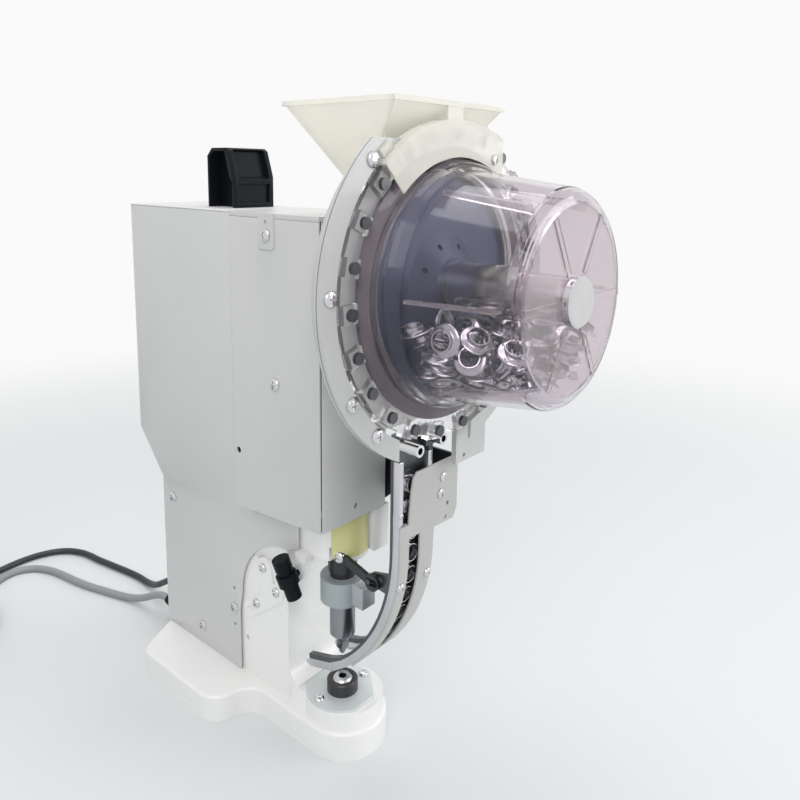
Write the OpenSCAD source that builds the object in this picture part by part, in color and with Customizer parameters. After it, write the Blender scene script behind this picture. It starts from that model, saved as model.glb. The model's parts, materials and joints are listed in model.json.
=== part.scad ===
// Desk eyelet machine with a rotating drum feeder, a curved chute and a pressing ram.
// X points to the machine's right, Y to its back and Z up. The origin lies in the middle of the
// base's round nose, on the surface that the base stands on. All sizes are in millimetres.

/* [Base casting] */
// Thickness of the base flange
flange_h = 22.4; // [21:0.1:24]
// Half the width of the base at its nose
nose_r = 33.2; // [32:0.1:34]
// Half the width of the base behind the nose
base_half_w = 69; // [67:0.5:72]
// Height of the steel plate on the nose above the table
plate_top_z = 38.7; // [38:0.1:39.5]
// Height of the underside of the arm
arm_z = 158; // [156:0.5:159]
// Half the width of the column and arm casting
casting_half_w = 25; // [24:0.5:26]

/* [Covers] */
// Thickness of the sheet-metal covers
sheet_t = 1.2; // [1:0.1:1.5]
// Distance from the middle plane to the column cover's face
skirt_x = 28; // [27.5:0.5:29]
// Distance from the middle plane to the head cover's left face
head_x = 48; // [46:0.5:50]
// Distance from the nose's centre forward to the front panel's face
front_y = 23; // [22:0.5:24]
// Distance from the nose's centre back to the rear cover's face
rear_y = 206; // [204:0.5:208]
// Height of the head's top face
top_z = 414; // [412:0.5:416]
// Distance from the nose's centre back to the seam between the front and rear covers
seam_y = 72; // [70:0.5:74]

/* [Drum feeder] */
// Height of the drum's axis
drum_z = 372.5; // [372:0.1:373]
// Outer radius of the fixed ring behind the drum
ring_r = 116; // [115:0.5:117]
// Outer radius of the clear pocket ring
pocket_r = 101.5; // [101:0.1:102]
// Number of pockets in the pocket ring
pocket_n = 23; // [20:1:24]
// Outer radius of the clear drum at its rear end
drum_rear_r = 74.5; // [74:0.1:75]
// Outer radius of the clear drum at its front end
drum_front_r = 65; // [64:0.5:66]
// Distance from the nose's centre forward to the drum's front face
drum_front_y = 182; // [181:0.5:183]

/* [Chute] */
// Radius of the chute's curve, measured to the middle of its side rails
chute_r = 137.2; // [137:0.1:137.5]
// Distance from the nose's centre forward to the straight part of the chute
chute_y = 66.3; // [66:0.1:66.6]
// Height at which the chute starts to curve
chute_bend_z = 181.7; // [181:0.1:182]
// Angle over which the chute curves, in degrees
chute_sweep = 55; // [54:0.5:56]
// Width of the slot in the chute's front cover
chute_slot_w = 12; // [11:0.5:12]

/* [Pressing tools] */
// Sideways distance of the tools' axis from the middle plane
tool_x = -2.5; // [-3:0.1:-2]
// Radius of the ram
ram_r = 12; // [11.8:0.1:12.2]
// Radius of the punch
punch_r = 9.9; // [9.6:0.1:10]
// Height of the punch's shoulder above the table with the ram up
punch_z = 88; // [87:0.5:89]
// Stroke of the ram
stroke = 24; // [23:0.5:24]
// Outer radius of the collar round the lower die
collar_r = 12.2; // [12:0.1:12.5]
// Height of the top of the collar round the lower die
collar_top_z = 48.5; // [48:0.1:49]

/* [Eyelets] */
// Outer diameter of an eyelet's flange
eyelet_d = 20; // [19:0.5:20]
// Outer diameter of an eyelet's barrel
barrel_d = 12.6; // [12:0.1:13]
// Length of an eyelet with its flange
eyelet_h = 4.5; // [4:0.1:4.5]

/* [Cables] */
// Diameter of the grey power cable
power_d = 7; // [6.8:0.1:7]
// Diameter of the black pedal cable
pedal_d = 6.5; // [6.3:0.1:6.5]

/* [Hidden] */
$fn = 64;

paint_white = [0.93, 0.93, 0.92];
paint_grey = [0.76, 0.77, 0.77];
paint_light = [0.84, 0.84, 0.83];
steel = [0.72, 0.73, 0.74];
dark_steel = [0.25, 0.26, 0.27];
black = [0.08, 0.08, 0.09];
bronze = [0.72, 0.55, 0.28];
clear = [0.86, 0.82, 0.88, 0.4];
cream = [0.96, 0.95, 0.9, 0.85];
nickel = [0.88, 0.88, 0.88];

running_gap = 0.03;     // radial clearance of a running fit
fixed_gap = 0.02;       // radial clearance of a shaft in a hub that turns with it
cut = 1;                // how far a cutting shape runs past the face it opens

// Crank drive
crank_z = 300;
crank_throw = stroke / 2;
rod_len = 65;
wrist_z = crank_z + crank_throw - rod_len;
shaft_r = 10;
crank_pin_r = 8;
rod_half_t = 6;
bearing_r = 17;
bearing_ys = [[24, 38], [108, 122]];
pulley_y0 = 128;
pulley_w = 16;
crank_pulley_r = 22;
motor_pulley_r = 11;
motor_x = -12;
motor_z = 372;
motor_r = 29;
motor_y0 = 46;
motor_y1 = 122;
motor_shaft_r = 6;
belt_gap = 0.3;
belt_t = 3;

// Tool stack
housing_r = 20;
bush_r = 15;
nut_top_z = arm_z;
nut_low_z = 137;
nut_step_z = 142;
clamp_z0 = 117.5;
clamp_z1 = 137;
tip_r = 2.7;
tip_z = 70;
cone_z = 82;
punch_low_z = 76;
cone_r = 4.8;
spring_top_z = 118;
spring_low_z = 100;
die_r = 8;
die_top_z = collar_top_z + 1;
die_bore_r = 3.1;

// Drum feeder, as distances forward of the nose's centre
ring_back_y = 77;
ring_front_y = 95;
ring_step_y = 93;
ring_inner_r = 103.5;
ring_wall = 1.5;
ring_cut_top_z = 462.5;
ring_cut_low_z = 284.6;
ring_cut_x = 49;
drum_shaft_r = 6;
drum_bearing_r = 14;
ring_screw_r = 108;
ring_screw_angles = [134, 178, 213, 230];

// Chute
rail_in_x = 13.5;
rail_out_x = 18;
rail_half = 3;
core_t = 2;
cover_t = 1.5;
chute_top_z = 268.5;
rail_top_z = 250;
pivot_y = -38;
pivot_z = 218;
pivot_r = 3;

// Cable routes, chosen by hand
gland_power = [-12, 206, 25];
gland_pedal = [4, 206, 34];
boot_len = 25;
power_route = [
    [-12, 231, 25], [-12, 244, 23.6], [-13, 256, 19], [-15, 268, 13], [-17, 281, 7.6],
    [-20, 295, 4.4], [-25, 311, 3.6], [-30, 327, 3.6], [-35, 343, 3.6], [-39, 360, 3.6],
    [-42, 377, 3.6], [-45, 394, 3.6], [-50, 411, 3.6], [-60, 426, 3.6], [-76, 433, 3.6],
    [-93, 429, 3.6], [-107, 418, 3.6], [-116, 403, 3.6], [-121, 387, 3.6], [-124, 371, 3.6]
];
pedal_route = [
    [4, 231, 34], [4, 244, 32.6], [4, 256, 27.6], [5, 268, 20.4], [6, 280, 13],
    [8, 293, 7], [9, 307, 4], [9, 322, 3.6], [7, 339, 3.6], [4, 356, 3.6],
    [1, 373, 3.6], [-2, 390, 3.6], [-4, 407, 3.6], [-9, 424, 3.6], [-20, 439, 3.6],
    [-37, 448, 3.6], [-55, 451, 3.6], [-73, 450, 3.6], [-91, 447, 3.6], [-108, 443, 3.6],
    [-125, 440.5, 3.6]
];
cord_sides = 10;
coil_sides = 6;
coil_rings = 24;

// Points on a circle about c, from angle a0 to a1
function arc(c, r, a0, a1, n = 16) =
    [for (i = [0:n]) let (a = a0 + (a1 - a0) * i / n) [c[0] + r * cos(a), c[1] + r * sin(a)]];

function mirrored(pts) = [for (i = [len(pts) - 1:-1:0]) [-pts[i][0], pts[i][1]]];

// Extrudes an XZ outline from y0 back to y1
module along_y(y0, y1) {
    translate([0, y1, 0]) rotate([90, 0, 0]) linear_extrude(y1 - y0) children();
}

// Extrudes a YZ outline from x0 to x1
module along_x(x0, x1) {
    translate([x0, 0, 0]) rotate([90, 0, 90]) linear_extrude(x1 - x0) children();
}

module rod_y(r, y0, y1, x = 0, z = 0) {
    translate([x, y0, z]) rotate([-90, 0, 0]) cylinder(r = r, h = y1 - y0);
}

module rod_x(r, x0, x1, y = 0, z = 0) {
    translate([x0, y, z]) rotate([0, 90, 0]) cylinder(r = r, h = x1 - x0);
}

// Moves what is drawn about the middle plane onto the tools' axis
module at_tool() {
    translate([tool_x, 0, 0]) children();
}

module ring_y(r_out, r_in, y0, y1, x = 0, z = 0) {
    difference() {
        rod_y(r_out, y0, y1, x, z);
        rod_y(r_in, y0 - cut, y1 + cut, x, z);
    }
}

module box(low, high) {
    translate(low) cube(high - low);
}

// Turns a profile of [radius, y] points about the drum's axis
module drum_turned(profile) {
    translate([0, 0, drum_z]) rotate([-90, 0, 0]) rotate_extrude($fn = 96) polygon(profile);
}

// A solid between two four-cornered ends
module loft4(a, b) {
    polyhedron(
        points = concat(a, b),
        faces = [
            [0, 1, 2], [0, 2, 3], [4, 6, 5], [4, 7, 6],
            [0, 4, 5], [0, 5, 1], [1, 5, 6], [1, 6, 2],
            [2, 6, 7], [2, 7, 3], [3, 7, 4], [3, 4, 0]
        ]
    );
}

// A pan-head screw with a cross recess, its head above z = 0 and its shank below
screw_shank_r = 2;
screw_hole_r = 2.2;
screw_shank = 5;
module screw(head_r = 4.8, head_h = 2.6, shank = screw_shank) {
    recess = head_r * 1.1;
    difference() {
        union() {
            rotate_extrude($fn = 32) polygon(concat([[0, 0]], [[head_r, 0]],
                [for (i = [0:5]) let (a = i * 15) [head_r * cos(a), head_h * (0.25 + 0.75 * sin(a))]],
                [[0, head_h]]));
            translate([0, 0, -shank]) cylinder(r = screw_shank_r, h = shank + 0.1, $fn = 24);
        }
        for (a = [0, 90])
            rotate(a) translate([-recess / 2, -0.6, head_h - 1.2]) cube([recess, 1.2, 2]);
    }
}

// Where the pan-head screws sit: [position, rotation of the head's axis]
face_left = [0, -90, 0];
face_right = [0, 90, 0];
face_front = [90, 0, 0];
face_back = [-90, 0, 0];
side_screw = [22.5, 293];
tab_screw = [29, 399];
skirt_screws = [[103, 77], [150, 40], [190, 150]];
right_screws = [[22.5, 293], [150, 380], [150, 40], [190, 150], [20, 400]];
rear_screws = [[20, 40], [-20, 70], [20, 180], [-40, 300], [20, 300], [-40, 400], [20, 400]];
arm_screws = [[2, 200], [2, 221]];
guard_screw = [36, 452];
stop_screw_shank = 3.9;

// Outline of the base, seen from above
s_in = 19;
s_out = 20;
s_in_y = 59;
s_angle = asin((s_in + nose_r - (base_half_w - s_out)) / (s_in + s_out));
s_out_y = s_in_y + (s_in + s_out) * cos(s_angle);
base_right = concat(
    arc([0, 0], nose_r, -90, 0, 20),
    arc([nose_r + s_in, s_in_y], s_in, 180, 90 + s_angle, 10),
    arc([base_half_w - s_out, s_out_y], s_out, s_angle - 90, 0, 10),
    arc([base_half_w - 15, 174], 15, 0, 60, 8),
    arc([24, 186], 18, 55, 90, 5)
);
base_outline = concat(base_right, mirrored(base_right));

foot_holes = [[-55, 105], [55, 105], [-55, 175], [55, 175]];
foot_hole_r = 3.4;
foot_hole_depth = 16;
plate_r = 29.5;
plate_t = 2.2;
boss_top_z = plate_top_z - plate_t;
plate_screws = [[-23.5, 4.5], [20.5, -1]];
column_front_y = 38;
column_back_y = 200;
arm_front_y = -10;
arm_top_z = 196;
pedestal_half_w = 21;
pedestal_top_z = 321;
housing_top_z = 215;
stop_screw_at = [-11, 161];

module frame_casting() color(paint_white) difference() {
    union() {
        linear_extrude(flange_h) polygon(base_outline);
        cylinder(r = plate_r + 1, h = boss_top_z);
        box([-24, 0, 0], [24, column_front_y + cut, boss_top_z]);
        box([-casting_half_w, column_front_y, 0], [casting_half_w, column_back_y, arm_z + cut]);
        along_x(-casting_half_w, casting_half_w)
            polygon(concat([[column_front_y + cut, boss_top_z - cut], [column_front_y + cut, 54]],
                arc([column_front_y - 16, 54], 16, 0, -70, 8), [[27.4, boss_top_z - 0.1]]));
        translate([0, 0, arm_z]) linear_extrude(arm_top_z - arm_z)
            polygon(concat([[casting_half_w, column_back_y], [-casting_half_w, column_back_y]],
                arc([12 - casting_half_w, arm_front_y + 12], 12, 180, 270, 8),
                arc([casting_half_w - 12, arm_front_y + 12], 12, 270, 360, 8)));
        at_tool() {
            translate([0, 0, arm_z - 1]) cylinder(r = housing_r, h = housing_top_z - arm_z + 1);
            for (ys = bearing_ys)
                box([-pedestal_half_w, ys[0], arm_top_z - cut], [pedestal_half_w, ys[1], pedestal_top_z]);
        }
        box([10, -21.5, arm_z], [26, -9, 192]);
        box([-32.5, 9.3, 153.5], [cut - casting_half_w, 21, arm_z + cut]);
    }
    at_tool() {
        translate([0, 0, arm_z - 3]) cylinder(r = bush_r + fixed_gap, h = 80);
        translate([0, 0, 24]) cylinder(r = 5 + fixed_gap, h = 20);
        rod_y(bearing_r + fixed_gap, 20, 126, 0, crank_z);
    }
    box([-26, -20, 154], [stop_x1, -5.5, 168]);
    for (p = foot_holes)
        translate([p[0], p[1], -cut]) cylinder(r = foot_hole_r, h = foot_hole_depth + cut);
    for (p = plate_screws)
        translate([p[0], p[1], 28]) cylinder(r = screw_hole_r, h = 20);
    for (p = bracket_screws)
        rod_x(screw_hole_r, -casting_half_w - cut, -casting_half_w + 5, p[0], p[1]);
    rod_x(2.2, -casting_half_w - cut, -casting_half_w + 8, 90, 53.5);
    rod_x(screw_hole_r, stop_x1 - cut, stop_x1 + 3, stop_screw_at[0], stop_screw_at[1]);
}

module nose_plate() color(steel) difference() {
    translate([0, 0, boss_top_z]) linear_extrude(plate_t) intersection() {
        translate([0, 2]) circle(r = plate_r);
        polygon([[-plate_r - cut, -24.5], [8, -24.5], [26.6, -3], [26.6, 27.2], [-plate_r - cut, 27.2]]);
    }
    at_tool() translate([0, 0, boss_top_z - cut]) cylinder(r = 5 + fixed_gap, h = plate_t + 2 * cut);
    for (p = plate_screws)
        translate([p[0], p[1], boss_top_z - cut]) cylinder(r = screw_hole_r, h = plate_t + 2 * cut);
}

module lower_die() color(steel) at_tool() difference() {
    union() {
        translate([0, 0, 26]) cylinder(r = 5, h = 14);
        translate([0, 0, plate_top_z]) cylinder(r = die_r, h = die_top_z - 1.5 - plate_top_z);
        translate([0, 0, die_top_z - 1.5]) cylinder(r1 = die_r, r2 = die_r - 1.5, h = 1.5);
    }
    translate([0, 0, 34]) cylinder(r = die_bore_r, h = 20);
}

module die_collar() color(black) at_tool() difference() {
    union() {
        translate([0, 0, plate_top_z]) cylinder(r = collar_r, h = collar_top_z - 1 - plate_top_z);
        translate([0, 0, collar_top_z - 1]) cylinder(r1 = collar_r, r2 = collar_r - 1, h = 1);
    }
    translate([0, 0, plate_top_z - cut]) cylinder(r = die_r + fixed_gap, h = 20);
}

// The open arch of the column covers, seen from the side
arch_c = [35, 96];
arch_r = 57.5;
skirt_front_y = 22;
arch_outline = concat(
    [[-60, -cut], [96, -cut], [96, 78]],
    arc(arch_c, arch_r, 0, 90, 16),
    [[skirt_front_y, 158], [-60, 158]]
);

// Heights of the sloping band at the seam and at the rear
band_seam = [171, 230];
band_rear = [166, 219];

function band_end(y, z, t) = [
    [-skirt_x, y, z[0]], [-head_x, y, z[1]], [t - head_x, y, z[1]], [t - skirt_x, y, z[0]]
];

module left_cover() color(paint_grey) difference() {
    union() {
        along_x(-skirt_x, sheet_t - skirt_x) polygon([
            [rear_y - sheet_t, flange_h], [rear_y - sheet_t, band_rear[0]],
            [seam_y, band_seam[0]], [seam_y - 2, 186], [skirt_front_y, 192],
            [skirt_front_y, flange_h]
        ]);
        along_x(-head_x, sheet_t - head_x) polygon([
            [rear_y - sheet_t, band_rear[1]], [rear_y - sheet_t, top_z - sheet_t],
            [seam_y, top_z - sheet_t], [seam_y, band_seam[1]]
        ]);
        loft4(band_end(seam_y, band_seam, sheet_t), band_end(rear_y - sheet_t, band_rear, sheet_t));
    }
    along_x(-skirt_x - cut, 2 * sheet_t - skirt_x) polygon(arch_outline);
    for (p = skirt_screws)
        rod_x(screw_hole_r, -skirt_x - cut, -skirt_x + 3, p[0], p[1]);
    for (z = [95, 62])
        rod_x(1.5, -skirt_x - cut, -skirt_x + 3, 103, z);
}

module right_cover() color(paint_grey) difference() {
    translate([0, 0, flange_h]) linear_extrude(top_z - sheet_t - flange_h) polygon([
        [20.4, 0.4 - front_y], [skirt_x, -15], [skirt_x, rear_y - sheet_t],
        [skirt_x - sheet_t, rear_y - sheet_t], [skirt_x - sheet_t, -14.4], [19.8, 1.4 - front_y]
    ]);
    along_x(15, skirt_x + cut) polygon(arch_outline);
    along_x(15, skirt_x + cut) polygon([[-60, 0], [skirt_front_y, 0], [skirt_front_y, 193], [-60, 193]]);
    for (p = concat(right_screws, arm_screws))
        rod_x(screw_hole_r, skirt_x - 3, skirt_x + cut, p[0], p[1]);
}

module rear_cover() color(paint_grey) difference() {
    along_y(rear_y - sheet_t, rear_y) polygon([
        [-skirt_x, flange_h + 0.1], [skirt_x, flange_h + 0.1], [skirt_x, top_z - sheet_t],
        [-head_x, top_z - sheet_t], [-head_x, band_rear[1]], [-skirt_x, band_rear[0]]
    ]);
    for (g = [gland_power, gland_pedal])
        rod_y(4.5, rear_y - 3, rear_y + cut, g[0], g[2]);
    for (p = rear_screws)
        rod_y(screw_hole_r, rear_y - 3, rear_y + cut, p[0], p[1]);
}

// The left face of the head's front half, with its folded bottom and rear edges
side_low = [194, 187.4];
function panel_floor(y, z) = [
    [-head_x, y, z], [-head_x, y, z + sheet_t], [-skirt_x - 0.1, y, z + sheet_t], [-skirt_x - 0.1, y, z]
];
module side_panel() color(paint_light) difference() {
    union() {
        along_x(-head_x, sheet_t - head_x) polygon([
            [-front_y, side_low[0]], [seam_y - 0.5, side_low[1]],
            [seam_y - 0.5, top_z - 3.6], [-front_y, top_z - 3.6]
        ]);
        loft4(panel_floor(sheet_t - front_y, side_low[0]), panel_floor(seam_y - 0.5, side_low[1]));
        box([-head_x, seam_y - 0.5 - sheet_t, side_low[1]], [-skirt_x - 0.1, seam_y - 0.5, 232]);
    }
    rod_x(screw_hole_r, -head_x - cut, 3 - head_x, side_screw[0], side_screw[1]);
    rod_x(screw_hole_r, -head_x - cut, 3 - head_x, tab_screw[0], tab_screw[1]);
    rod_x(2.5, -head_x - cut, 3 - head_x, 66, 233);
}

panel_x0 = -45.4;
panel_x1 = 19.7;
panel_low = 193;
module front_panel() color(paint_light) difference() {
    along_y(-front_y, sheet_t - front_y) polygon([
        [panel_x0, panel_low], [panel_x1, panel_low], [panel_x1, top_z - 3.6], [panel_x0, top_z - 3.6]
    ]);
    rod_y(21, -front_y - cut, 0, 0, drum_z);
    rod_y(2.2, -front_y - cut, 0, -12, 203);
}

tab_y = [21, 37];
tab_low = 389;
module front_top_cover() color(paint_light) difference() {
    union() {
        box([-head_x, -front_y, top_z - sheet_t], [skirt_x, seam_y - 0.5, top_z]);
        box([-head_x, -front_y, top_z - 3.4], [sheet_t - head_x, seam_y - 0.5, top_z]);
        box([-head_x, -front_y, top_z - 3.4], [skirt_x, sheet_t - front_y, top_z]);
        along_x(-head_x - sheet_t, -head_x) polygon(concat(
            arc([tab_y[0] + 3, tab_low + 3], 3, 180, 270, 6),
            [[tab_y[1], tab_low], [tab_y[1], top_z], [tab_y[0], top_z]]
        ));
    }
    rod_x(screw_hole_r, -head_x - sheet_t - cut, 3 - head_x, tab_screw[0], tab_screw[1]);
    rod_x(1.5, -head_x - sheet_t - cut, -head_x + cut, 29, 408);
}

module rear_top_cover() color(paint_grey)
    box([-head_x, seam_y, top_z - sheet_t], [skirt_x, rear_y, top_z]);

hood_x0 = -24;
hood_x1 = 14;
hood_y0 = 95;
hood_y1 = 130;
hood_top_z = 460;
cheek_w = 4;
module hood() color(black) difference() {
    along_x(hood_x0, hood_x1) polygon([
        [hood_y0, top_z], [hood_y0, 438], [hood_y0 + 6.5, hood_top_z - 2], [hood_y0 + 10, hood_top_z],
        [hood_y1 - 6, hood_top_z], [hood_y1, hood_top_z - 6], [hood_y1, top_z]
    ]);
    along_x(hood_x0 + cheek_w, hood_x1 - cheek_w) polygon([
        [hood_y0 - cut, 436], [hood_y0 + 5, 438], [hood_y0 + 11, hood_top_z - 3],
        [hood_y0 + 5, hood_top_z + cut], [hood_y0 - cut, hood_top_z + cut]
    ]);
    box([hood_x0 + cheek_w, hood_y0 - cut, top_z + 4], [hood_x1 - cheek_w, hood_y0 + 2.5, 432]);
    along_x(hood_x0 - cut, hood_x0 + 12) polygon([
        [hood_y0 + 4, top_z - cut], [hood_y0 + 4, 434], [hood_y0 + 7, 437], [hood_y0 + 13, hood_top_z - 2.5],
        [hood_y1 - 7, hood_top_z - 2.5], [hood_y1 - 2.5, hood_top_z - 7], [hood_y1 - 2.5, top_z - cut]
    ]);
}

// Screws of the laser's bracket on the column wall, as [y, z]
bracket_screws = [[74.5, 92.7], [50, 111.7], [65.8, 127]];

module machine_screws() color(nickel) {
    translate([-head_x, side_screw[0], side_screw[1]]) rotate(face_left) screw();
    translate([-head_x - sheet_t, tab_screw[0], tab_screw[1]]) rotate(face_left) screw();
    for (p = skirt_screws)
        translate([-skirt_x, p[0], p[1]]) rotate(face_left) screw(shank = 2.6);
    for (p = right_screws)
        translate([skirt_x, p[0], p[1]]) rotate(face_right) screw(shank = 2.6);
    for (p = rear_screws)
        translate([p[0], rear_y, p[1]]) rotate(face_back) screw();
    for (p = arm_screws)
        translate([skirt_x + arm_t, p[0], p[1]]) rotate(face_right) screw();
    translate([guard_screw[0], -guard_front_y, guard_screw[1]]) rotate(face_front)
        screw(head_r = 3.6, head_h = 2, shank = 0);
    for (a = ring_screw_angles)
        ring_screw(a);
    for (p = plate_screws)
        translate([p[0], p[1], plate_top_z]) screw(head_r = 4, head_h = 2.4);
    for (p = bracket_screws)
        translate([-casting_half_w - bracket_t, p[0], p[1]]) rotate(face_left) screw(head_r = 4);
    translate([stop_x0, stop_screw_at[0], stop_screw_at[1]]) rotate(face_left)
        screw(head_r = 5, head_h = 3.6, shank = stop_screw_shank);
}

module ring_screw(a) {
    translate([ring_screw_r * cos(a), -ring_front_y, drum_z + ring_screw_r * sin(a)])
        rotate(face_front) screw();
}

module ring_screw_hole(a) {
    rod_y(screw_hole_r, -ring_front_y - cut, -80, ring_screw_r * cos(a), drum_z + ring_screw_r * sin(a));
}

// Crank drive, behind the covers
module ram() color(steel) at_tool() difference() {
    translate([0, 0, nut_top_z]) cylinder(r = ram_r, h = wrist_z + 12 - nut_top_z);
    box([-20, -rod_half_t - 0.2, wrist_z - 12], [20, rod_half_t + 0.2, wrist_z + 20]);
    rod_y(5 + fixed_gap, -20, 20, 0, wrist_z);
    translate([0, 0, nut_top_z - cut]) cylinder(r = 5, h = 14);
}

module ram_bushes() color(bronze) at_tool() {
    for (z = [169, 194])
        translate([0, 0, z]) difference() {
            cylinder(r = bush_r, h = 20);
            translate([0, 0, -cut]) cylinder(r = ram_r + running_gap, h = 22);
        }
}

module wrist_pin() color(steel) at_tool() rod_y(5, -10.5, 10.5, 0, wrist_z);

module connecting_rod() color(dark_steel) at_tool() difference() {
    along_y(-rod_half_t, rod_half_t) {
        translate([0, wrist_z]) circle(r = 9);
        translate([0, wrist_z + rod_len]) circle(r = 12);
        polygon([[-6, wrist_z], [6, wrist_z], [7, wrist_z + rod_len], [-7, wrist_z + rod_len]]);
    }
    rod_y(5 + running_gap, -10, 10, 0, wrist_z);
    rod_y(crank_pin_r + running_gap, -10, 10, 0, wrist_z + rod_len);
}

module crankshaft() color(steel) at_tool() {
    rod_y(shaft_r, 18, pulley_y0 + pulley_w + 4, 0, crank_z);
    rod_y(25, 9, 19, 0, crank_z);
    rod_y(crank_pin_r, rod_half_t + 0.5, 10, 0, crank_z + crank_throw);
}

module shaft_bearings() color(steel) {
    for (ys = bearing_ys)
        ring_y(bearing_r, shaft_r + running_gap, ys[0], ys[1], tool_x, crank_z);
    for (y = [-42, -60])
        ring_y(drum_bearing_r, drum_shaft_r + running_gap, y - 10, y, 0, drum_z);
}

module crank_pulley() color(dark_steel)
    ring_y(crank_pulley_r, shaft_r + fixed_gap, pulley_y0, pulley_y0 + pulley_w, tool_x, crank_z);

module belt_loop(grow) {
    hull() {
        translate([tool_x, crank_z]) circle(r = crank_pulley_r + grow, $fn = 48);
        translate([motor_x, motor_z]) circle(r = motor_pulley_r + grow, $fn = 32);
    }
}

module drive_belt() color(black) along_y(pulley_y0 + 2, pulley_y0 + pulley_w - 2) difference() {
    belt_loop(belt_gap + belt_t);
    belt_loop(belt_gap);
}

module motor_pulley() color(steel) {
    rod_y(motor_shaft_r, motor_y0 + 14, pulley_y0 + pulley_w + 2, motor_x, motor_z);
    rod_y(motor_pulley_r, pulley_y0, pulley_y0 + pulley_w, motor_x, motor_z);
}

module main_motor() color(dark_steel) difference() {
    union() {
        rod_y(motor_r, motor_y0, motor_y1, motor_x, motor_z);
        rod_y(motor_r - 6, motor_y0 - 5, motor_y0 + cut, motor_x, motor_z);
        box([motor_x - 16, bearing_ys[1][0], pedestal_top_z], [motor_x + 16, bearing_ys[1][1], motor_z - 20]);
    }
    rod_y(motor_shaft_r + running_gap, motor_y0 + 12, motor_y1 + cut, motor_x, motor_z);
}

// Drum feeder
module drum_motor() color(dark_steel) difference() {
    union() {
        box([-18, -21, drum_z - 18], [18, -2, drum_z + 18]);
        rod_y(16, -3, 26, 0, drum_z);
    }
    rod_y(drum_shaft_r + running_gap, -22, -4, 0, drum_z);
}

module drum_support() color(dark_steel) drum_turned([
    [drum_bearing_r + fixed_gap, -front_y], [40, -front_y], [40, -29], [24, -33],
    [24, -68], [48, -72], [48, -ring_back_y], [drum_bearing_r + fixed_gap, -ring_back_y]
]);

module ring_back() color(paint_light) difference() {
    union() {
        drum_turned([[drum_bearing_r + 1, -ring_back_y - 4], [drum_bearing_r + 1, -ring_back_y],
            [ring_inner_r + ring_wall, -ring_back_y], [ring_inner_r + ring_wall, 2.4 - ring_step_y],
            [ring_r, 2.4 - ring_step_y], [ring_r, 0.8 - ring_step_y], [ring_r - 1.5, 0.8 - ring_step_y],
            [ring_r - 1.5, -ring_step_y], [ring_inner_r, -ring_step_y], [ring_inner_r, -ring_back_y - 4]]);
        box([30, -ring_back_y - 4, 238], [66, -ring_back_y, 330]);
    }
    box([-46, -100, 432], [130, -60, 500]);
    box([-120, -100, ring_cut_top_z], [120, -60, 500]);
    box([-ring_cut_x, -100, 240], [30, -60, ring_cut_low_z]);
    rod_y(1.5, -ring_back_y - 5, cut - ring_back_y, 40, 242.5);
    for (a = ring_screw_angles)
        ring_screw_hole(a);
}

module ring_front() color(paint_light) difference() {
    along_y(-ring_front_y, -ring_step_y) translate([0, drum_z]) difference() {
        circle(r = ring_r, $fn = 128);
        circle(r = ring_inner_r, $fn = 128);
        translate([0, -5]) square(200);
        translate([-ring_cut_x, -200]) square(200);
        translate([-150, ring_cut_top_z - drum_z]) square(200);
    }
    for (a = ring_screw_angles)
        ring_screw_hole(a);
}

module drum_shaft() color(steel) rod_y(drum_shaft_r, -drum_front_y - 1, -5, 0, drum_z);

sleeve_y0 = -150;
sleeve_y1 = -97;
module shaft_sleeve() color(nickel) drum_turned([
    [drum_shaft_r + fixed_gap, sleeve_y1], [14.5, sleeve_y1], [14.5, -101], [15.5, -102],
    [15.5, -121], [16.5, -122], [16.5, sleeve_y0], [drum_shaft_r + fixed_gap, sleeve_y0]
]);

module drum_back_plate() color([0.25, 0.27, 0.36]) difference() {
    drum_turned([
        [drum_shaft_r + fixed_gap, -85], [76, -85], [76, -88], [34, -88], [18, sleeve_y1],
        [drum_shaft_r + fixed_gap, sleeve_y1]
    ]);
    for (k = [0:7])
        rod_y(1.8, -100, -80, 26 * cos(k * 45 + 20), drum_z + 26 * sin(k * 45 + 20));
}

pocket_w = 17;
pocket_floor_r = 98.5;
block_r = 94.5;
block_y0 = -97;
block_y1 = -93;
block_size = 11;
block_angle = 137;
module pocket_ring() color(clear) {
    difference() {
        drum_turned([[70, block_y1], [70, -88], [pocket_r, -88], [pocket_r, block_y1]]);
        for (k = [0:pocket_n - 1])
            at_ring(block_angle + (k + 0.5) * 360 / pocket_n)
                box([pocket_floor_r, -100, -pocket_w / 2], [pocket_r + 5, -80, pocket_w / 2]);
    }
    for (k = [0:pocket_n - 1])
        at_ring(block_angle + k * 360 / pocket_n)
            box([block_r - block_size / 2, block_y0, -block_size / 2],
                [block_r + block_size / 2, block_y1 + 0.5, block_size / 2]);
}

// Turns what is drawn at +X about the drum's axis, by an angle towards +Z
module at_ring(a) {
    translate([0, 0, drum_z]) rotate([0, -a, 0]) children();
}

module pocket_nuts() color(dark_steel)
    for (k = [0:pocket_n - 1])
        at_ring(block_angle + k * 360 / pocket_n)
            rod_y(3.6, block_y0 - 2.4, block_y0, block_r, 0);

fin_n = 6;
rim_arc_r = 10;
shell_t = 2.5;
rim_centre = [drum_front_r - rim_arc_r, rim_arc_r - drum_front_y];
module drum_shell() color(clear) {
    drum_turned(concat(
        [[drum_rear_r + 1.5, -93], [87, -93], [87, -95.5], [79, -97], [79, -101], [76.5, -103],
            [77.5, -106], [75.8, -109], [drum_rear_r - 1.8, -112]],
        arc(rim_centre, rim_arc_r, 0, -90, 6),
        arc(rim_centre, rim_arc_r - shell_t, -90, 0, 6),
        [[drum_rear_r - 4.4, -112], [drum_rear_r - 1, -107], [drum_rear_r, -103], [drum_rear_r + 2, -99]]
    ));
}

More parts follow.
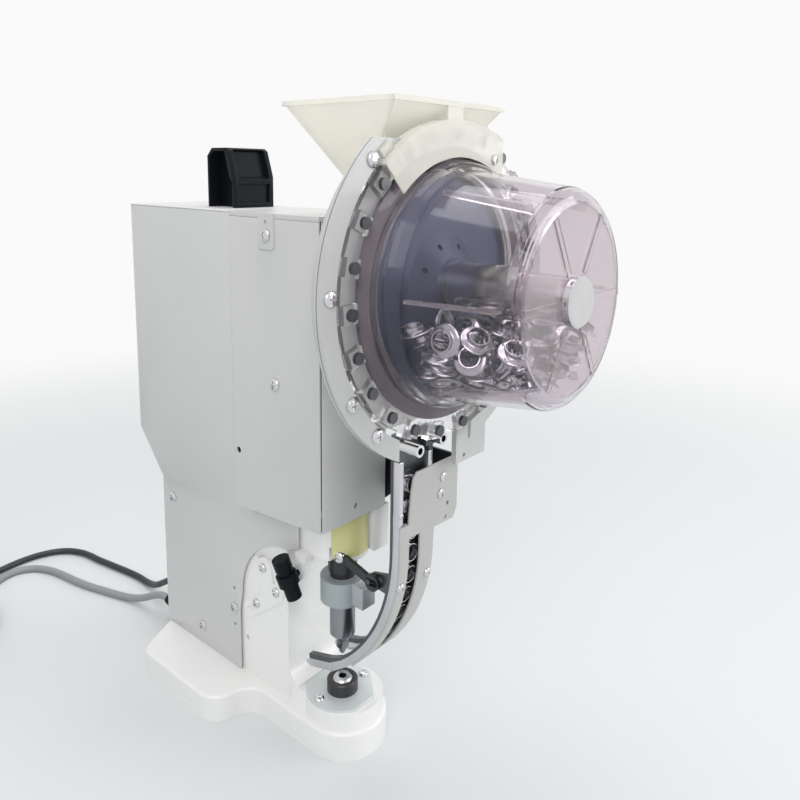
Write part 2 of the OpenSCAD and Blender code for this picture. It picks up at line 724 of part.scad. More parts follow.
// The drum's front wall with its ribs and hub, and the fins that lift the eyelets
front_r = drum_front_r - rim_arc_r - 0.05;
fin_rear_r = drum_rear_r - 4.7;
fin_front_r = drum_front_r - 2.3;
module drum_front() color(clear) {
    drum_turned([[8, -drum_front_y], [front_r, -drum_front_y], [front_r, shell_t - drum_front_y],
        [8, shell_t - drum_front_y]]);
    drum_turned([[11.5, 1 - drum_front_y], [14, 1 - drum_front_y], [14, sleeve_y0], [11.5, sleeve_y0]]);
    for (k = [0:fin_n - 1])
        at_ring(k * 360 / fin_n) {
            box([18, -drum_front_y - 1.2, -2], [front_r, 0.2 - drum_front_y, 2]);
            translate([0, 0, -1]) linear_extrude(2) polygon([
                [66.5, -114], [fin_rear_r, -114], [fin_front_r, 12 - drum_front_y],
                [drum_front_r - 8, 12 - drum_front_y]
            ]);
        }
}

cap_r = 15;
module drum_cap() color(nickel) difference() {
    drum_turned([
        [0, -drum_front_y - 5], [cap_r - 1, -drum_front_y - 5], [cap_r, -drum_front_y - 4],
        [cap_r, -drum_front_y], [7.8, -drum_front_y], [7.8, 5 - drum_front_y], [0, 5 - drum_front_y]
    ]);
    rod_y(drum_shaft_r + fixed_gap, -drum_front_y - 2, 6 - drum_front_y, 0, drum_z);
}

// A flanged eyelet standing on z = 0
module eyelet() {
    rotate_extrude($fn = 32) polygon([
        [barrel_d / 2 - 0.6, 0], [barrel_d / 2 + 0.4, 0], [eyelet_d / 2 - 0.6, 0.5], [eyelet_d / 2, 0.2],
        [eyelet_d / 2, 0.8], [barrel_d / 2, 1.2], [barrel_d / 2, eyelet_h], [barrel_d / 2 - 0.6, eyelet_h]
    ]);
}

// Loose eyelets along the bottom of the drum: [distance of the flange from the axis, y, angle]
pile_low = [for (y = [0:2], k = [-3:3]) [59.5 - 2.4 * y, -121 - 22 * y, 270 + 22.5 * k]];
pile_high = [for (y = [0:1], k = [-2:2]) [50.5 - 2.4 * y, -132 - 22 * y, 270 + 27 * k]];
module drum_eyelets() color(nickel)
    for (p = concat(pile_low, pile_high))
        at_ring(p[2]) translate([p[0], p[1], 0]) rotate([0, -90, 0]) eyelet();

// Funnel: a sloping hopper with a rim, a foot on the head and a spout towards the drum
funnel_top = 487;
lip_h = 3;
lip_out = 2;
funnel_low = 440;
rim_x = 54.5;
rim_y = [-92.5, 0];
neck_x = 35;
neck_y = [-57, -33];
funnel_t = 2;
function level(x, ys, z) = [[-x, ys[0], z], [x, ys[0], z], [x, ys[1], z], [-x, ys[1], z]];
module funnel() color(cream) difference() {
    union() {
        loft4(level(neck_x, neck_y, funnel_low), level(rim_x, rim_y, funnel_top - lip_h));
        box([-rim_x - lip_out, rim_y[0] - lip_out, funnel_top - lip_h],
            [rim_x + lip_out, rim_y[1] + lip_out, funnel_top]);
        box([-18, -83, 436], [18, -45, 454]);
        box([-15, -36, top_z], [15, -21, 447]);
    }
    loft4(level(neck_x - funnel_t, [neck_y[0] + 2, neck_y[1] - 2], funnel_low + 2),
        level(rim_x - funnel_t, [rim_y[0] + 2, rim_y[1] - 2], funnel_top + 1));
    box([-16, -84, 438], [16, -46, 452]);
}

guard_r = 103.4;
guard_in_r = 80.5;
guard_front_y = 101;
guard_t = 1.2;
guard_wall = 1.5;
guard_end = 133;
module funnel_guard() color(cream) {
    difference() {
        drum_turned([[guard_in_r, guard_t - guard_front_y], [guard_in_r, -guard_front_y],
            [guard_r, -guard_front_y], [guard_r, -91.5], [guard_r - guard_wall, -91.5],
            [guard_r - guard_wall, guard_t - guard_front_y]]);
        box([-120, -110, drum_z - 120], [120, -80, drum_z + 20]);
        at_ring(guard_end) box([-20, -110, 0], [150, -80, 200]);
        box([46, -110, drum_z], [120, -80, 500]);
    }
    box([-8, -95.5, drum_z + guard_r - 1], [8, -93.5, funnel_top - lip_h]);
    at_ring(guard_end - 5) box([guard_r - 1, -ring_front_y - 2, -5], [109, -ring_front_y, 5]);
}

// Chute. A point on the curve at angle a, moved by n towards the inside of the curve
function on_curve(a, n) = [
    -chute_y + chute_r * (1 - cos(a)) + n * cos(a),
    chute_bend_z - (chute_r - n) * sin(a)
];
chute_steps = 14;
chute_step = chute_sweep / chute_steps;
core_steps = 12;
fork_steps = 13;
function strip(n0, n1, steps, top) = concat(
    top > 0 ? [[n0 - chute_y, top]] : [],
    [for (i = [0:steps]) on_curve(i * chute_step, n0)],
    [for (i = [steps:-1:0]) on_curve(i * chute_step, n1)],
    top > 0 ? [[n1 - chute_y, top]] : []
);

// Arm on the right side of the head that carries the chute's pivot
arm_t = 2.5;
arm_end_r = 5.5;
module chute_support() color(black) difference() {
    along_x(skirt_x, skirt_x + arm_t) {
        polygon([
            [10, 192], [10, 229], [-10, 229], [pivot_y, pivot_z + arm_end_r],
            [pivot_y, pivot_z - arm_end_r], [-14, 192]
        ]);
        translate([pivot_y, pivot_z]) circle(r = arm_end_r);
    }
    rod_x(pivot_r + fixed_gap, skirt_x - cut, skirt_x + arm_t + cut, pivot_y, pivot_z);
    for (p = arm_screws)
        rod_x(screw_hole_r, skirt_x - cut, skirt_x + arm_t + cut, p[0], p[1]);
}

module chute_pivot_pin() color(steel) {
    rod_x(pivot_r, ear_x[0] - 0.4, ear_x[1] + ear_t + 0.5, pivot_y, pivot_z);
    rod_x(4.5, ear_x[1] + ear_t + 0.3, ear_x[1] + ear_t + 2.8, pivot_y, pivot_z);
}

// The upper edge of the fork, on which the jaws lie
fork_bend = [-1, 69.4];
fork_tip = [21, 63];
module rail_outline() {
    polygon(strip(-rail_half, rail_half, fork_steps, rail_top_z));
    polygon([
        on_curve(fork_steps * chute_step, -rail_half), [-4, 63.2], [20, 56.6], [24, 57.4], [25, 59.6],
        fork_tip, fork_bend, on_curve(fork_steps * chute_step, rail_half)
    ]);
}

module chute_rails() color(steel) {
    along_x(-rail_out_x, -rail_in_x) rail_outline();
    along_x(rail_in_x, rail_out_x) rail_outline();
}

lug_x = [-12.5, -9.5];
lug_pin = [-40, 152];
ear_x = [25.4, 30.9];
ear_t = 2.2;
box_x1 = 47;
box_y = [-46, -44];
core_y = rail_half + core_t - chute_y;
module chute_core() color(dark_steel) {
    along_x(-rail_out_x, rail_out_x) polygon(strip(rail_half, rail_half + core_t, core_steps, chute_top_z));
    for (x = [-rail_out_x, rail_in_x]) {
        box([x, -chute_y - rail_half, rail_top_z], [x + rail_out_x - rail_in_x, core_y - 1, chute_top_z]);
        along_x(x, x + rail_out_x - rail_in_x) polygon([
            on_curve(core_steps * chute_step, rail_half), on_curve(fork_steps * chute_step, rail_half),
            fork_bend, fork_tip, fork_tip + [0.6, 3.9], fork_bend + [1.1, 3.8],
            on_curve(fork_steps * chute_step, rail_half + core_t),
            on_curve(core_steps * chute_step, rail_half + core_t)
        ]);
    }
    box([8, -chute_y - rail_half - cover_t, 255], [rail_out_x, -chute_y - rail_half + 0.1, chute_top_z]);
    along_x(lug_x[0], lug_x[1]) polygon([
        [-60.6, 162], [-57.5, 145], [-40, 147], [-36, 150], [-36, 154], [-40, 157]
    ]);
    rod_x(2, -17.5, lug_x[0] + 1, lug_pin[0], lug_pin[1]);
    box([11.5, core_y - 1, 196], [13.5, box_y[1], 238.5]);
    box([11.5, box_y[0], 196], [box_x1, box_y[1], 238.5]);
    box([box_x1 - 2, -chute_y - rail_half, 197.5], [box_x1, box_y[1], 238.5]);
    difference() {
        for (x = ear_x)
            along_x(x, x + ear_t) {
                polygon([[box_y[1] - cut, pivot_z - 6], [pivot_y, pivot_z - 6], [pivot_y, pivot_z + 6],
                    [box_y[1] - cut, pivot_z + 6]]);
                translate([pivot_y, pivot_z]) circle(r = 6);
            }
        rod_x(pivot_r + running_gap, ear_x[0] - cut, ear_x[1] + ear_t + cut, pivot_y, pivot_z);
    }
}

slot_top_z = 192.5;
slot_end = 40;
bracket_outline = [
    [-rail_out_x, chute_bend_z], [-rail_out_x, 203], [-9, 203], [-6.6, 227], [-4.5, 236], [-1, 239],
    [box_x1, 238.5], [46.6, 197.5], [42.4, 190], [19.6, 191], [19, chute_bend_z]
];
module chute_cover() color(paint_light) difference() {
    union() {
        along_y(-chute_y - rail_half - cover_t, -chute_y - rail_half) polygon(bracket_outline);
        along_x(-rail_out_x, 19) polygon(strip(-rail_half - cover_t, -rail_half, core_steps, 0));
    }
    along_x(tool_x - chute_slot_w / 2, tool_x + chute_slot_w / 2)
        polygon(concat([[-80, slot_top_z], [-80, chute_bend_z]],
            [for (i = [0:12]) on_curve(slot_end * i / 12, -rail_half - 4)],
            [for (i = [12:-1:0]) on_curve(slot_end * i / 12, -rail_half + 2)],
            [[-60, slot_top_z]]));
    for (p = [[35.2, 204.3], [32.8, 194.3]])
        rod_y(1.6, -76, -66, p[0], p[1]);
}

// Screws on the chute's front, and two spacers at its top
cover_screws = [[28.9, 226.4], [26.2, 214.3]];
module chute_screws() color(nickel) {
    for (p = cover_screws)
        translate([p[0], -chute_y - rail_half - cover_t, p[1]]) rotate(face_front)
            screw(head_r = 3.6, head_h = 2, shank = 0);
    translate([-15.8, -chute_y - rail_half, 211]) rotate(face_front)
        screw(head_r = 1.9, head_h = 1.2, shank = 0);
    for (x = [-14.5, 15])
        translate([x, on_curve(10, -rail_half - cover_t)[0], on_curve(10, -rail_half - cover_t)[1]])
            rotate([100, 0, 0]) screw(head_r = 3.6, head_h = 2, shank = 0);
    ring_y(4.2, 2.4, -85, -chute_y - rail_half, -15.8, 262);
    ring_y(4.2, 2.4, -85, -chute_y - rail_half - cover_t, 9.5, 264);
}

// Eyelets in the chute, as distances along the curve; each leans a little and laps over the next
eyelet_pitch = 16.9;
eyelet_first = 104.1;
eyelet_lean = 4.5;
module chute_eyelets() color(nickel)
    for (k = [0:9]) {
        along = eyelet_first - k * eyelet_pitch;
        a = max(0, along) / chute_r * 180 / PI;
        up = max(0, -along);
        p = on_curve(a, 2.15);
        translate([tool_x, p[0], p[1] + up]) rotate([90 + a - eyelet_lean, 0, 0]) eyelet();
    }

stop_x0 = -17;
stop_x1 = -14;
stop_slot = [[-40, 152], [-46, 152.4]];
stop_slot_r = 2.7;
module chute_stop() color(black) difference() {
    along_x(stop_x0, stop_x1) {
        translate(stop_screw_at) circle(r = 5);
        translate([-43, 152]) circle(r = 6.5);
        polygon([[-11, 157.5], [-11, 164.5], [-43, 155.5], [-43, 148.5]]);
    }
    along_x(stop_x0 - cut, stop_x1 + cut) {
        for (p = stop_slot)
            translate(p) circle(r = stop_slot_r);
        polygon([stop_slot[0] + [0, stop_slot_r], stop_slot[0] - [0, stop_slot_r],
            stop_slot[1] - [0, stop_slot_r], stop_slot[1] + [0, stop_slot_r]]);
    }
    rod_x(screw_hole_r, stop_x0 - cut, stop_x1 + cut, stop_screw_at[0], stop_screw_at[1]);
}

// Pressing tools on the ram
module tool_clamp() color(paint_grey) at_tool() difference() {
    union() {
        translate([0, 0, clamp_z0]) cylinder(r = 17.2, h = clamp_z1 - clamp_z0);
        box([-6, -27, clamp_z0 + 1.5], [8, -8, clamp_z1 - 1]);
    }
    translate([0, 0, clamp_z0 - cut]) cylinder(r = punch_r + fixed_gap, h = 30);
}

module lock_nut() color(black) at_tool() difference() {
    union() {
        translate([0, 0, nut_low_z]) cylinder(r = 9.5, h = nut_step_z - nut_low_z + cut);
        translate([0, 0, nut_step_z]) cylinder(r = 11.25, h = nut_top_z - nut_step_z);
    }
    translate([0, 0, nut_low_z - cut]) cylinder(r = 4.9 + fixed_gap, h = 24);
}

module punch() color(steel) at_tool() difference() {
    union() {
        translate([0, 0, punch_low_z]) cylinder(r = cone_r, h = cone_z - punch_low_z);
        translate([0, 0, cone_z]) cylinder(r1 = cone_r, r2 = punch_r, h = punch_z - cone_z);
        translate([0, 0, punch_z]) cylinder(r = punch_r, h = nut_low_z - punch_z);
        translate([0, 0, nut_low_z - cut]) cylinder(r = 4.9, h = 32);
    }
    translate([0, 0, punch_low_z - cut])
        cylinder(r = tip_r + running_gap, h = spring_top_z - punch_low_z + cut);
}

module pilot_tip() color(steel) at_tool() {
    translate([0, 0, tip_z]) cylinder(r1 = tip_r - 1.2, r2 = tip_r, h = 2);
    translate([0, 0, tip_z + 2]) cylinder(r = tip_r, h = spring_low_z - tip_z - 2);
}

module pilot_spring() color(steel) translate([tool_x, 0, spring_low_z]) difference() {
    cylinder(r = tip_r - 0.1, h = spring_top_z - spring_low_z);
    translate([0, 0, -cut]) cylinder(r = tip_r - 0.9, h = 20);
}

// Aiming light on the column wall
bracket_t = 2;
laser_c = [-37.5, 24, 139];
laser_lean = [-11.7, -13.7, 0];
module pill(a, b, r) hull() {
    translate(a) circle(r = r, $fn = 32);
    translate(b) circle(r = r, $fn = 32);
}
module laser_bracket() color(paint_white) difference() {
    along_x(-casting_half_w - bracket_t, -casting_half_w) {
        pill([84, 84], [50, 109], 7);
        pill([60, 106], [64.5, 128], 8);
        pill([52, 110], [laser_c[1], laser_c[2]], 6);
    }
    along_x(-casting_half_w - bracket_t - cut, -casting_half_w + cut) pill([86, 82], [78, 88], 2.2);
    for (p = bracket_screws)
        rod_x(screw_hole_r, -casting_half_w - bracket_t - cut, -casting_half_w + cut, p[0], p[1]);
    rod_x(2.5 + running_gap, -30, -20, laser_c[1], laser_c[2]);
}

module laser_pointer() color(black) {
    translate(laser_c) rotate(laser_lean) {
        translate([0, 0, -17]) cylinder(r = 6, h = 30);
        translate([0, 0, 8]) cylinder(r = 6.8, h = 9);
        translate([0, 0, -5]) cylinder(r = 8, h = 9);
    }
    rod_x(2.5, laser_c[0], -24, laser_c[1], laser_c[2]);
}

// Cables
module cable_glands() color(black) {
    for (g = [gland_power, gland_pedal]) {
        translate([g[0], g[1], g[2]]) rotate([-90, 0, 0]) {
            cylinder(r = 8, h = 4, $fn = 6 * 8);
            translate([0, 0, 3.5]) cylinder(r1 = 6.4, r2 = 4.6, h = boot_len - 3.5);
        }
    }
}

// Rings of points round a path, and the tube over them
function heading(path, i) = let (
    a = path[max(0, i - 1)], b = path[min(len(path) - 1, i + 1)],
    d = (i == 0) ? path[1] - path[0] : (i == len(path) - 1) ? path[i] - path[i - 1] : b - a
) d / norm(d);
function ring_at(p, d, r, sides) = let (
    side = [-d[1], d[0], 0] / norm([d[0], d[1]]), up = cross(d, side)
) [for (k = [0:sides - 1]) p + r * (cos(360 * k / sides) * side + sin(360 * k / sides) * up)];
module tube(path, r, sides) {
    n = len(path);
    points = [for (i = [0:n - 1]) each ring_at(path[i], heading(path, i), r, sides)];
    sleeve = [for (i = [0:n - 2], k = [0:sides - 1]) let (
        a = i * sides + k, b = i * sides + (k + 1) % sides
    ) each [[a, b, a + sides], [b, b + sides, a + sides]]];
    near_cap = [for (k = [1:sides - 2]) [0, k + 1, k]];
    far_cap = [for (k = [1:sides - 2]) [(n - 1) * sides, (n - 1) * sides + k, (n - 1) * sides + k + 1]];
    polyhedron(points = points, faces = concat(sleeve, near_cap, far_cap));
}

// A put-away coil: it starts where the route ends, winds inwards, climbs a layer and winds out.
// t counts the turns; d is the cable's diameter and big_r the radius of the outermost turn.
gap = 0.6;
coil_tail = 36;          // straight length before the plug
function flat(v) = [v[0], v[1], 0];
function coil_start(route) = let (n = len(route), h = flat(route[n - 1] - route[n - 2])) h / norm(h);
function coil_centre(route, d, big_r) = let (h = coil_start(route))
    route[len(route) - 1] + d * h + big_r * [h[1], -h[0], 0];
function coil_point(route, d, big_r, turns, t) = let (
    h = coil_start(route), a = atan2(h[0], -h[1]) - 360 * t,
    r = big_r - (d + gap) * min(t, turns - t),
    u = min(1, max(0, (t - turns / 2 + 0.25) / 0.5)),
    lift = (d + gap) * (1 - cos(180 * u)) / 2
) coil_centre(route, d, big_r) + [r * cos(a), r * sin(a), lift];
function coil_exit(route, turns) = let (h = coil_start(route), a = atan2(h[0], -h[1]) - 360 * turns)
    [sin(a), -cos(a), 0];
function coil_path(route, d, big_r, turns) = let (n = ceil(turns * coil_rings)) concat(
    [route[len(route) - 1]],
    [for (i = [0:n]) coil_point(route, d, big_r, turns, turns * i / n)],
    [coil_point(route, d, big_r, turns, turns) + coil_tail * coil_exit(route, turns)]
);
function least_gap(path, d) = min([for (i = [0:len(path) - 2 - coil_rings / 2])
    min([for (j = [i + coil_rings / 2:len(path) - 1]) norm(path[i] - path[j])])]) - d;

power_r = 51;
power_turns = 6.13;
pedal_r = 48;
pedal_turns = 6.05;
power_loops = coil_path(power_route, power_d, power_r, power_turns);
pedal_loops = coil_path(pedal_route, pedal_d, pedal_r, pedal_turns);
echo("least gap in the power cable's coil, mm", least_gap(power_loops, power_d));
echo("least gap in the pedal cable's coil, mm", least_gap(pedal_loops, pedal_d));

module power_cord() color([0.55, 0.56, 0.58]) tube(power_route, power_d / 2, cord_sides);
module pedal_cord() color(black) tube(pedal_route, pedal_d / 2, cord_sides);
module power_coil() color([0.55, 0.56, 0.58]) tube(power_loops, power_d / 2, coil_sides);
module pedal_coil() color(black) tube(pedal_loops, pedal_d / 2, coil_sides);

// Draws what points along +X at the end of a coil
module at_coil_end(loops) {
    last = loops[len(loops) - 1];
    d = last - loops[len(loops) - 2];
    translate(last) rotate(atan2(d[1], d[0])) children();
}

module power_plug() color(black) at_coil_end(power_loops) {
    rotate([0, 90, 0]) cylinder(r1 = 5, r2 = 8, h = 14);
    box([13.5, -13, -10.9], [38, 13, 10.9]);
    box([37.5, -16, -10.9], [44, 16, 10.9]);
    box([43.5, -7, -3.2], [61, -5.5, 3.2]);
    box([43.5, 5.5, -3.2], [61, 7, 3.2]);
}

module pedal_plug() color(steel) at_coil_end(pedal_loops) rotate([0, 90, 0]) {
    cylinder(r1 = 4.5, r2 = 7.5, h = 12);
    translate([0, 0, 11.5]) cylinder(r = 8.5, h = 18);
    translate([0, 0, 29]) cylinder(r = 10.3, h = 12);
    translate([0, 0, 40.5]) cylinder(r = 8, h = 4);
}

frame_casting();
nose_plate();
lower_die();
die_collar();
left_cover();
right_cover();
rear_cover();
side_panel();
front_panel();
front_top_cover();
rear_top_cover();
hood();
machine_screws();
ram();
ram_bushes();
wrist_pin();
connecting_rod();
crankshaft();
shaft_bearings();
crank_pulley();
drive_belt();
motor_pulley();
main_motor();
drum_motor();
drum_support();
ring_back();
ring_front();
drum_shaft();
shaft_sleeve();
drum_back_plate();
pocket_ring();
pocket_nuts();
drum_shell();
drum_front();
drum_cap();
drum_eyelets();
funnel();
funnel_guard();
chute_support();
chute_pivot_pin();
chute_rails();
chute_core();
chute_cover();
chute_screws();
chute_eyelets();
chute_stop();
tool_clamp();
lock_nut();
punch();
pilot_tip();
pilot_spring();
laser_bracket();
laser_pointer();
cable_glands();
power_cord();
power_coil();
power_plug();
pedal_cord();
pedal_coil();
pedal_plug();
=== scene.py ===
# %% [markdown]
# # A desk eyelet machine
# This lesson dresses a machine that sets metal eyelets. A clear drum tumbles the eyelets into a
# pocket ring, a curved chute brings them under the punch, and the ram presses them into the work.
# The solid parts come from the part's own model. Here they get paint, metal and clear plastic,
# rounded edges, cables and a heap of loose eyelets. Positions below are in millimetres, as on a
# drawing, and the helper `mm` turns them into Blender's metres.

import json
import math

import bmesh
import bpy
import numpy as np
from mathutils import Euler, Matrix, Vector

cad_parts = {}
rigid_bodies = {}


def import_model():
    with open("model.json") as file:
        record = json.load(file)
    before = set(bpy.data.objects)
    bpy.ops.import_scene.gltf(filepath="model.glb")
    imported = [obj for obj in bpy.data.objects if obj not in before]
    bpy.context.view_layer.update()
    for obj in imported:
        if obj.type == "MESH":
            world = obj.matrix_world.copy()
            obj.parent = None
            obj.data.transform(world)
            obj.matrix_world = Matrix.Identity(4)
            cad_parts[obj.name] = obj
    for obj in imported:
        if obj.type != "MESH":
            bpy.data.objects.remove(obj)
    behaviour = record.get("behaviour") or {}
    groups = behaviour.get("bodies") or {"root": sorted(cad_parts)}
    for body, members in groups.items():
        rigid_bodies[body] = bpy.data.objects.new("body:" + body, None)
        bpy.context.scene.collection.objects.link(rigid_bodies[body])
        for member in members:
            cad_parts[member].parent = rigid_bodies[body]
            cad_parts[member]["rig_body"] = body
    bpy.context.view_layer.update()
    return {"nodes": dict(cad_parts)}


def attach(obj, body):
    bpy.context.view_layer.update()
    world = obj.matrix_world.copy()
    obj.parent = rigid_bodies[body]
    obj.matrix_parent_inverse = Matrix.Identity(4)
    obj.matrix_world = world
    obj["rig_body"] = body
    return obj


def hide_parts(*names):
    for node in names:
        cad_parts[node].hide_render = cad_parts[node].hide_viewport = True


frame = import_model()
nodes = frame["nodes"]


def mm(*values):
    """Millimetres to metres, as a vector for three values or a number for one."""
    return Vector(v / 1000 for v in values) if len(values) > 1 else values[0] / 1000


# %% [markdown]
# The camera stands in front of the machine's left side, a little above the chute, and looks
# slightly down. It could be aimed with a Track To constraint. Here its place and three angles are
# given, because they were worked out from the machine's own straight edges and round parts. A
# small shift of the picture moves the frame down without tilting the camera any further, so the
# upright edges stay nearly parallel.

# %% Place the camera
scene = bpy.context.scene
CAMERA_AT = mm(-381.6, -375.7, 444.4)
CAMERA_YAW = 49.7       # degrees clockwise from the back, seen from above
CAMERA_PITCH = 9.5      # degrees below level
CAMERA_ROLL = -0.8      # degrees
SENSOR, LENS = 36, 33.525
SHIFT_DOWN = 0.131      # of the picture's width

camera_data = bpy.data.cameras.new("camera")
camera_data.sensor_width = SENSOR
camera_data.lens = LENS
camera_data.shift_y = -SHIFT_DOWN
camera = bpy.data.objects.new("camera", camera_data)
scene.collection.objects.link(camera)
camera.matrix_world = (Matrix.Translation(CAMERA_AT)
                       @ Matrix.Rotation(math.radians(-CAMERA_YAW), 4, "Z")
                       @ Matrix.Rotation(math.radians(90 - CAMERA_PITCH), 4, "X")
                       @ Matrix.Rotation(math.radians(-CAMERA_ROLL), 4, "Z"))
scene.camera = camera
print("camera:", [round(v, 3) for v in camera.location])

# %% [markdown]
# Three small helpers do what every step below needs: put a mesh into the scene, make a mesh from
# points in millimetres, and make a material with one Principled shader. Blender's operators
# could do the same, but they depend on what is selected. Plain data calls give the same result
# each time.

# %% Helpers
def new_object(name, mesh, material=None):
    """Links a mesh into the scene under a name, with its material."""
    made = bpy.data.objects.new(name, mesh)
    scene.collection.objects.link(made)
    if material:
        mesh.materials.clear()
        mesh.materials.append(material)
    return made


def mesh_of(name, points, faces):
    """A mesh from points in millimetres."""
    mesh = bpy.data.meshes.new(name)
    mesh.from_pydata([mm(*p) for p in points], [], faces)
    mesh.update()
    return mesh


def principled(name, colour, roughness, metallic=0.0, **sockets):
    """A material with one Principled shader; returns it, its node tree and the shader."""
    made = bpy.data.materials.new(name)
    made.use_nodes = True
    shader = made.node_tree.nodes["Principled BSDF"]
    shader.inputs["Base Color"].default_value = (*colour, 1)
    shader.inputs["Roughness"].default_value = roughness
    shader.inputs["Metallic"].default_value = metallic
    for socket, value in sockets.items():
        shader.inputs[socket.replace("_", " ")].default_value = value
    return made, made.node_tree, shader


print("helpers:", new_object.__name__, mesh_of.__name__, principled.__name__)

# %% [markdown]
# The machine is light, so it stands in a bright white room. A strong white world could make that
# room, but it would light the paint from all sides and wash the shadows out. So the world gives
# only a weak light, and a plain white is shown to the rays that look at it: those of the camera,
# and those that a mirror or clear plastic sends on. Light passes many walls in the clear drum, so
# it may bend and bounce more often than usual.

# %% Surround
scene.view_settings.view_transform = "Standard"
scene.cycles.max_bounces = scene.cycles.transmission_bounces = 32
BACKDROP = (0.955, 0.955, 0.955)
BACKDROP_LIGHT = 1.0
WORLD_COLOUR = (0.97, 0.98, 1.0)
WORLD_LIGHT = 0.55


def looking_rays(tree):
    """The output that is 1 for what the camera, a mirror or clear plastic looks at."""
    rays = tree.nodes.new("ShaderNodeLightPath")
    found = rays.outputs["Is Camera Ray"]
    for label in ("Is Transmission Ray", "Is Glossy Ray"):
        either = tree.nodes.new("ShaderNodeMath")
        either.operation = "MAXIMUM"
        tree.links.new(found, either.inputs[0])
        tree.links.new(rays.outputs[label], either.inputs[1])
        found = either.outputs[0]
    return found


world = bpy.data.worlds.new("surround")
scene.world = world
world.use_nodes = True
wire = world.node_tree
wire.nodes.clear()
world_out = wire.nodes.new("ShaderNodeOutputWorld")
pick = wire.nodes.new("ShaderNodeMixShader")
wire.links.new(looking_rays(wire), pick.inputs["Fac"])
for place, colour, strength in ((1, WORLD_COLOUR, WORLD_LIGHT), (2, BACKDROP, BACKDROP_LIGHT)):
    shown = wire.nodes.new("ShaderNodeBackground")
    shown.inputs["Color"].default_value = (*colour, 1)
    shown.inputs["Strength"].default_value = strength
    wire.links.new(shown.outputs[0], pick.inputs[place])
wire.links.new(pick.outputs[0], world_out.inputs["Surface"])
print("surround:", world.name, "backdrop", BACKDROP)

# %% [markdown]
# The machine stands on a pale worktop, which takes its shadow. A curved paper sweep behind it could
# hide the worktop's far edge, but it would show as a wall from other sides. So the worktop is one
# large flat sheet whose shader melts into the backdrop's white with the distance from the
# machine's foot, the same way on every side, and only for the rays that look at it.

# %% Worktop
FLOOR_HALF = 6000                      # millimetres
WORKTOP_COLOUR, WORKTOP_ROUGHNESS = (0.71, 0.735, 0.74), 0.45
FADE_START, FADE_END = 0.55, 1.5       # metres from the machine's foot
worktop, wt, wt_shader = principled("worktop", WORKTOP_COLOUR, WORKTOP_ROUGHNESS)
place = wt.nodes.new("ShaderNodeTexCoord")
distance = wt.nodes.new("ShaderNodeVectorMath")
distance.operation = "LENGTH"
fade = wt.nodes.new("ShaderNodeMapRange")
fade.interpolation_type = "SMOOTHSTEP"
fade.inputs["From Min"].default_value = FADE_START
fade.inputs["From Max"].default_value = FADE_END
amount = wt.nodes.new("ShaderNodeMath")
amount.operation = "MULTIPLY"
haze = wt.nodes.new("ShaderNodeEmission")
haze.inputs["Color"].default_value = (*BACKDROP, 1)
melt = wt.nodes.new("ShaderNodeMixShader")
wt.links.new(place.outputs["Object"], distance.inputs[0])
wt.links.new(distance.outputs["Value"], fade.inputs["Value"])
wt.links.new(fade.outputs["Result"], amount.inputs[0])
wt.links.new(looking_rays(wt), amount.inputs[1])
wt.links.new(amount.outputs[0], melt.inputs["Fac"])
wt.links.new(wt_shader.outputs[0], melt.inputs[1])
wt.links.new(haze.outputs[0], melt.inputs[2])
wt.links.new(melt.outputs[0], wt.nodes["Material Output"].inputs["Surface"])
corners = [(x * FLOOR_HALF, y * FLOOR_HALF, 0) for x, y in ((-1, -1), (1, -1), (1, 1), (-1, 1))]
floor = new_object("floor", mesh_of("floor", corners, [(0, 1, 2, 3)]), worktop)
print("worktop fades from", FADE_START, "to", FADE_END, "m")

# %% [markdown]
# Three large soft lamps stand in for a bright shop: a key from the front left, a fill from the
# front right, and one above that lights the tops and the base. Small lamps or a sun would throw
# hard shadows, which a bright shop doesn't have. The world alone would leave the faces too even
# to read the shape.

# %% Lamps
def area_lamp(name, at, target, size, power):
    data = bpy.data.lights.new(name, "AREA")
    data.shape = "RECTANGLE"
    data.size, data.size_y = size
    data.energy = power
    lamp = bpy.data.objects.new(name, data)
    scene.collection.objects.link(lamp)
    lamp.location = at
    lamp.rotation_euler = (Vector(target) - Vector(at)).to_track_quat("-Z", "Y").to_euler()
    return lamp


area_lamp("key", (-1.3, -0.9, 1.5), (0, 0.02, 0.24), (1.3, 1.3), 15)
area_lamp("fill", (1.2, -1.4, 0.9), (0, 0, 0.25), (1.2, 1.2), 14)
area_lamp("top", (0.1, 0.2, 1.7), (0, 0, 0.2), (1.2, 1.2), 11)

# %% [markdown]
# Powder coat is never perfectly even: a fine pebble catches the light and the colour drifts a
# little. A painted picture could hold that, but it would need every piece unwrapped. A noise in
# the piece's own coordinates needs no unwrapping. One node group makes both effects, and every
# painted material uses it with its own values. The group only hands out a colour, a roughness
# and a normal; the shader stays outside it.

# %% Paint surface group
def new_group(name, inputs, outputs):
    """A shader node group with float or colour inputs; returns it with its two end nodes."""
    group = bpy.data.node_groups.new(name, "ShaderNodeTree")
    for label, kind, value in inputs:
        socket = group.interface.new_socket(label, in_out="INPUT", socket_type=kind)
        socket.default_value = value
    for label, kind in outputs:
        group.interface.new_socket(label, in_out="OUTPUT", socket_type=kind)
    return group, group.nodes.new("NodeGroupInput"), group.nodes.new("NodeGroupOutput")


FLOAT, COLOUR, VECTOR = "NodeSocketFloat", "NodeSocketColor", "NodeSocketVector"
NOISE_LOW, NOISE_HIGH = 0.3, 0.7       # most of a noise texture's values lie between these
BUMP_DEPTH = 0.0003                    # metres
DRIFT_DETAIL, GRAIN_DETAIL = 3, 2
MIX_A, MIX_B, MIX_RESULT = 6, 7, 2     # the colour sockets of Blender's Mix node


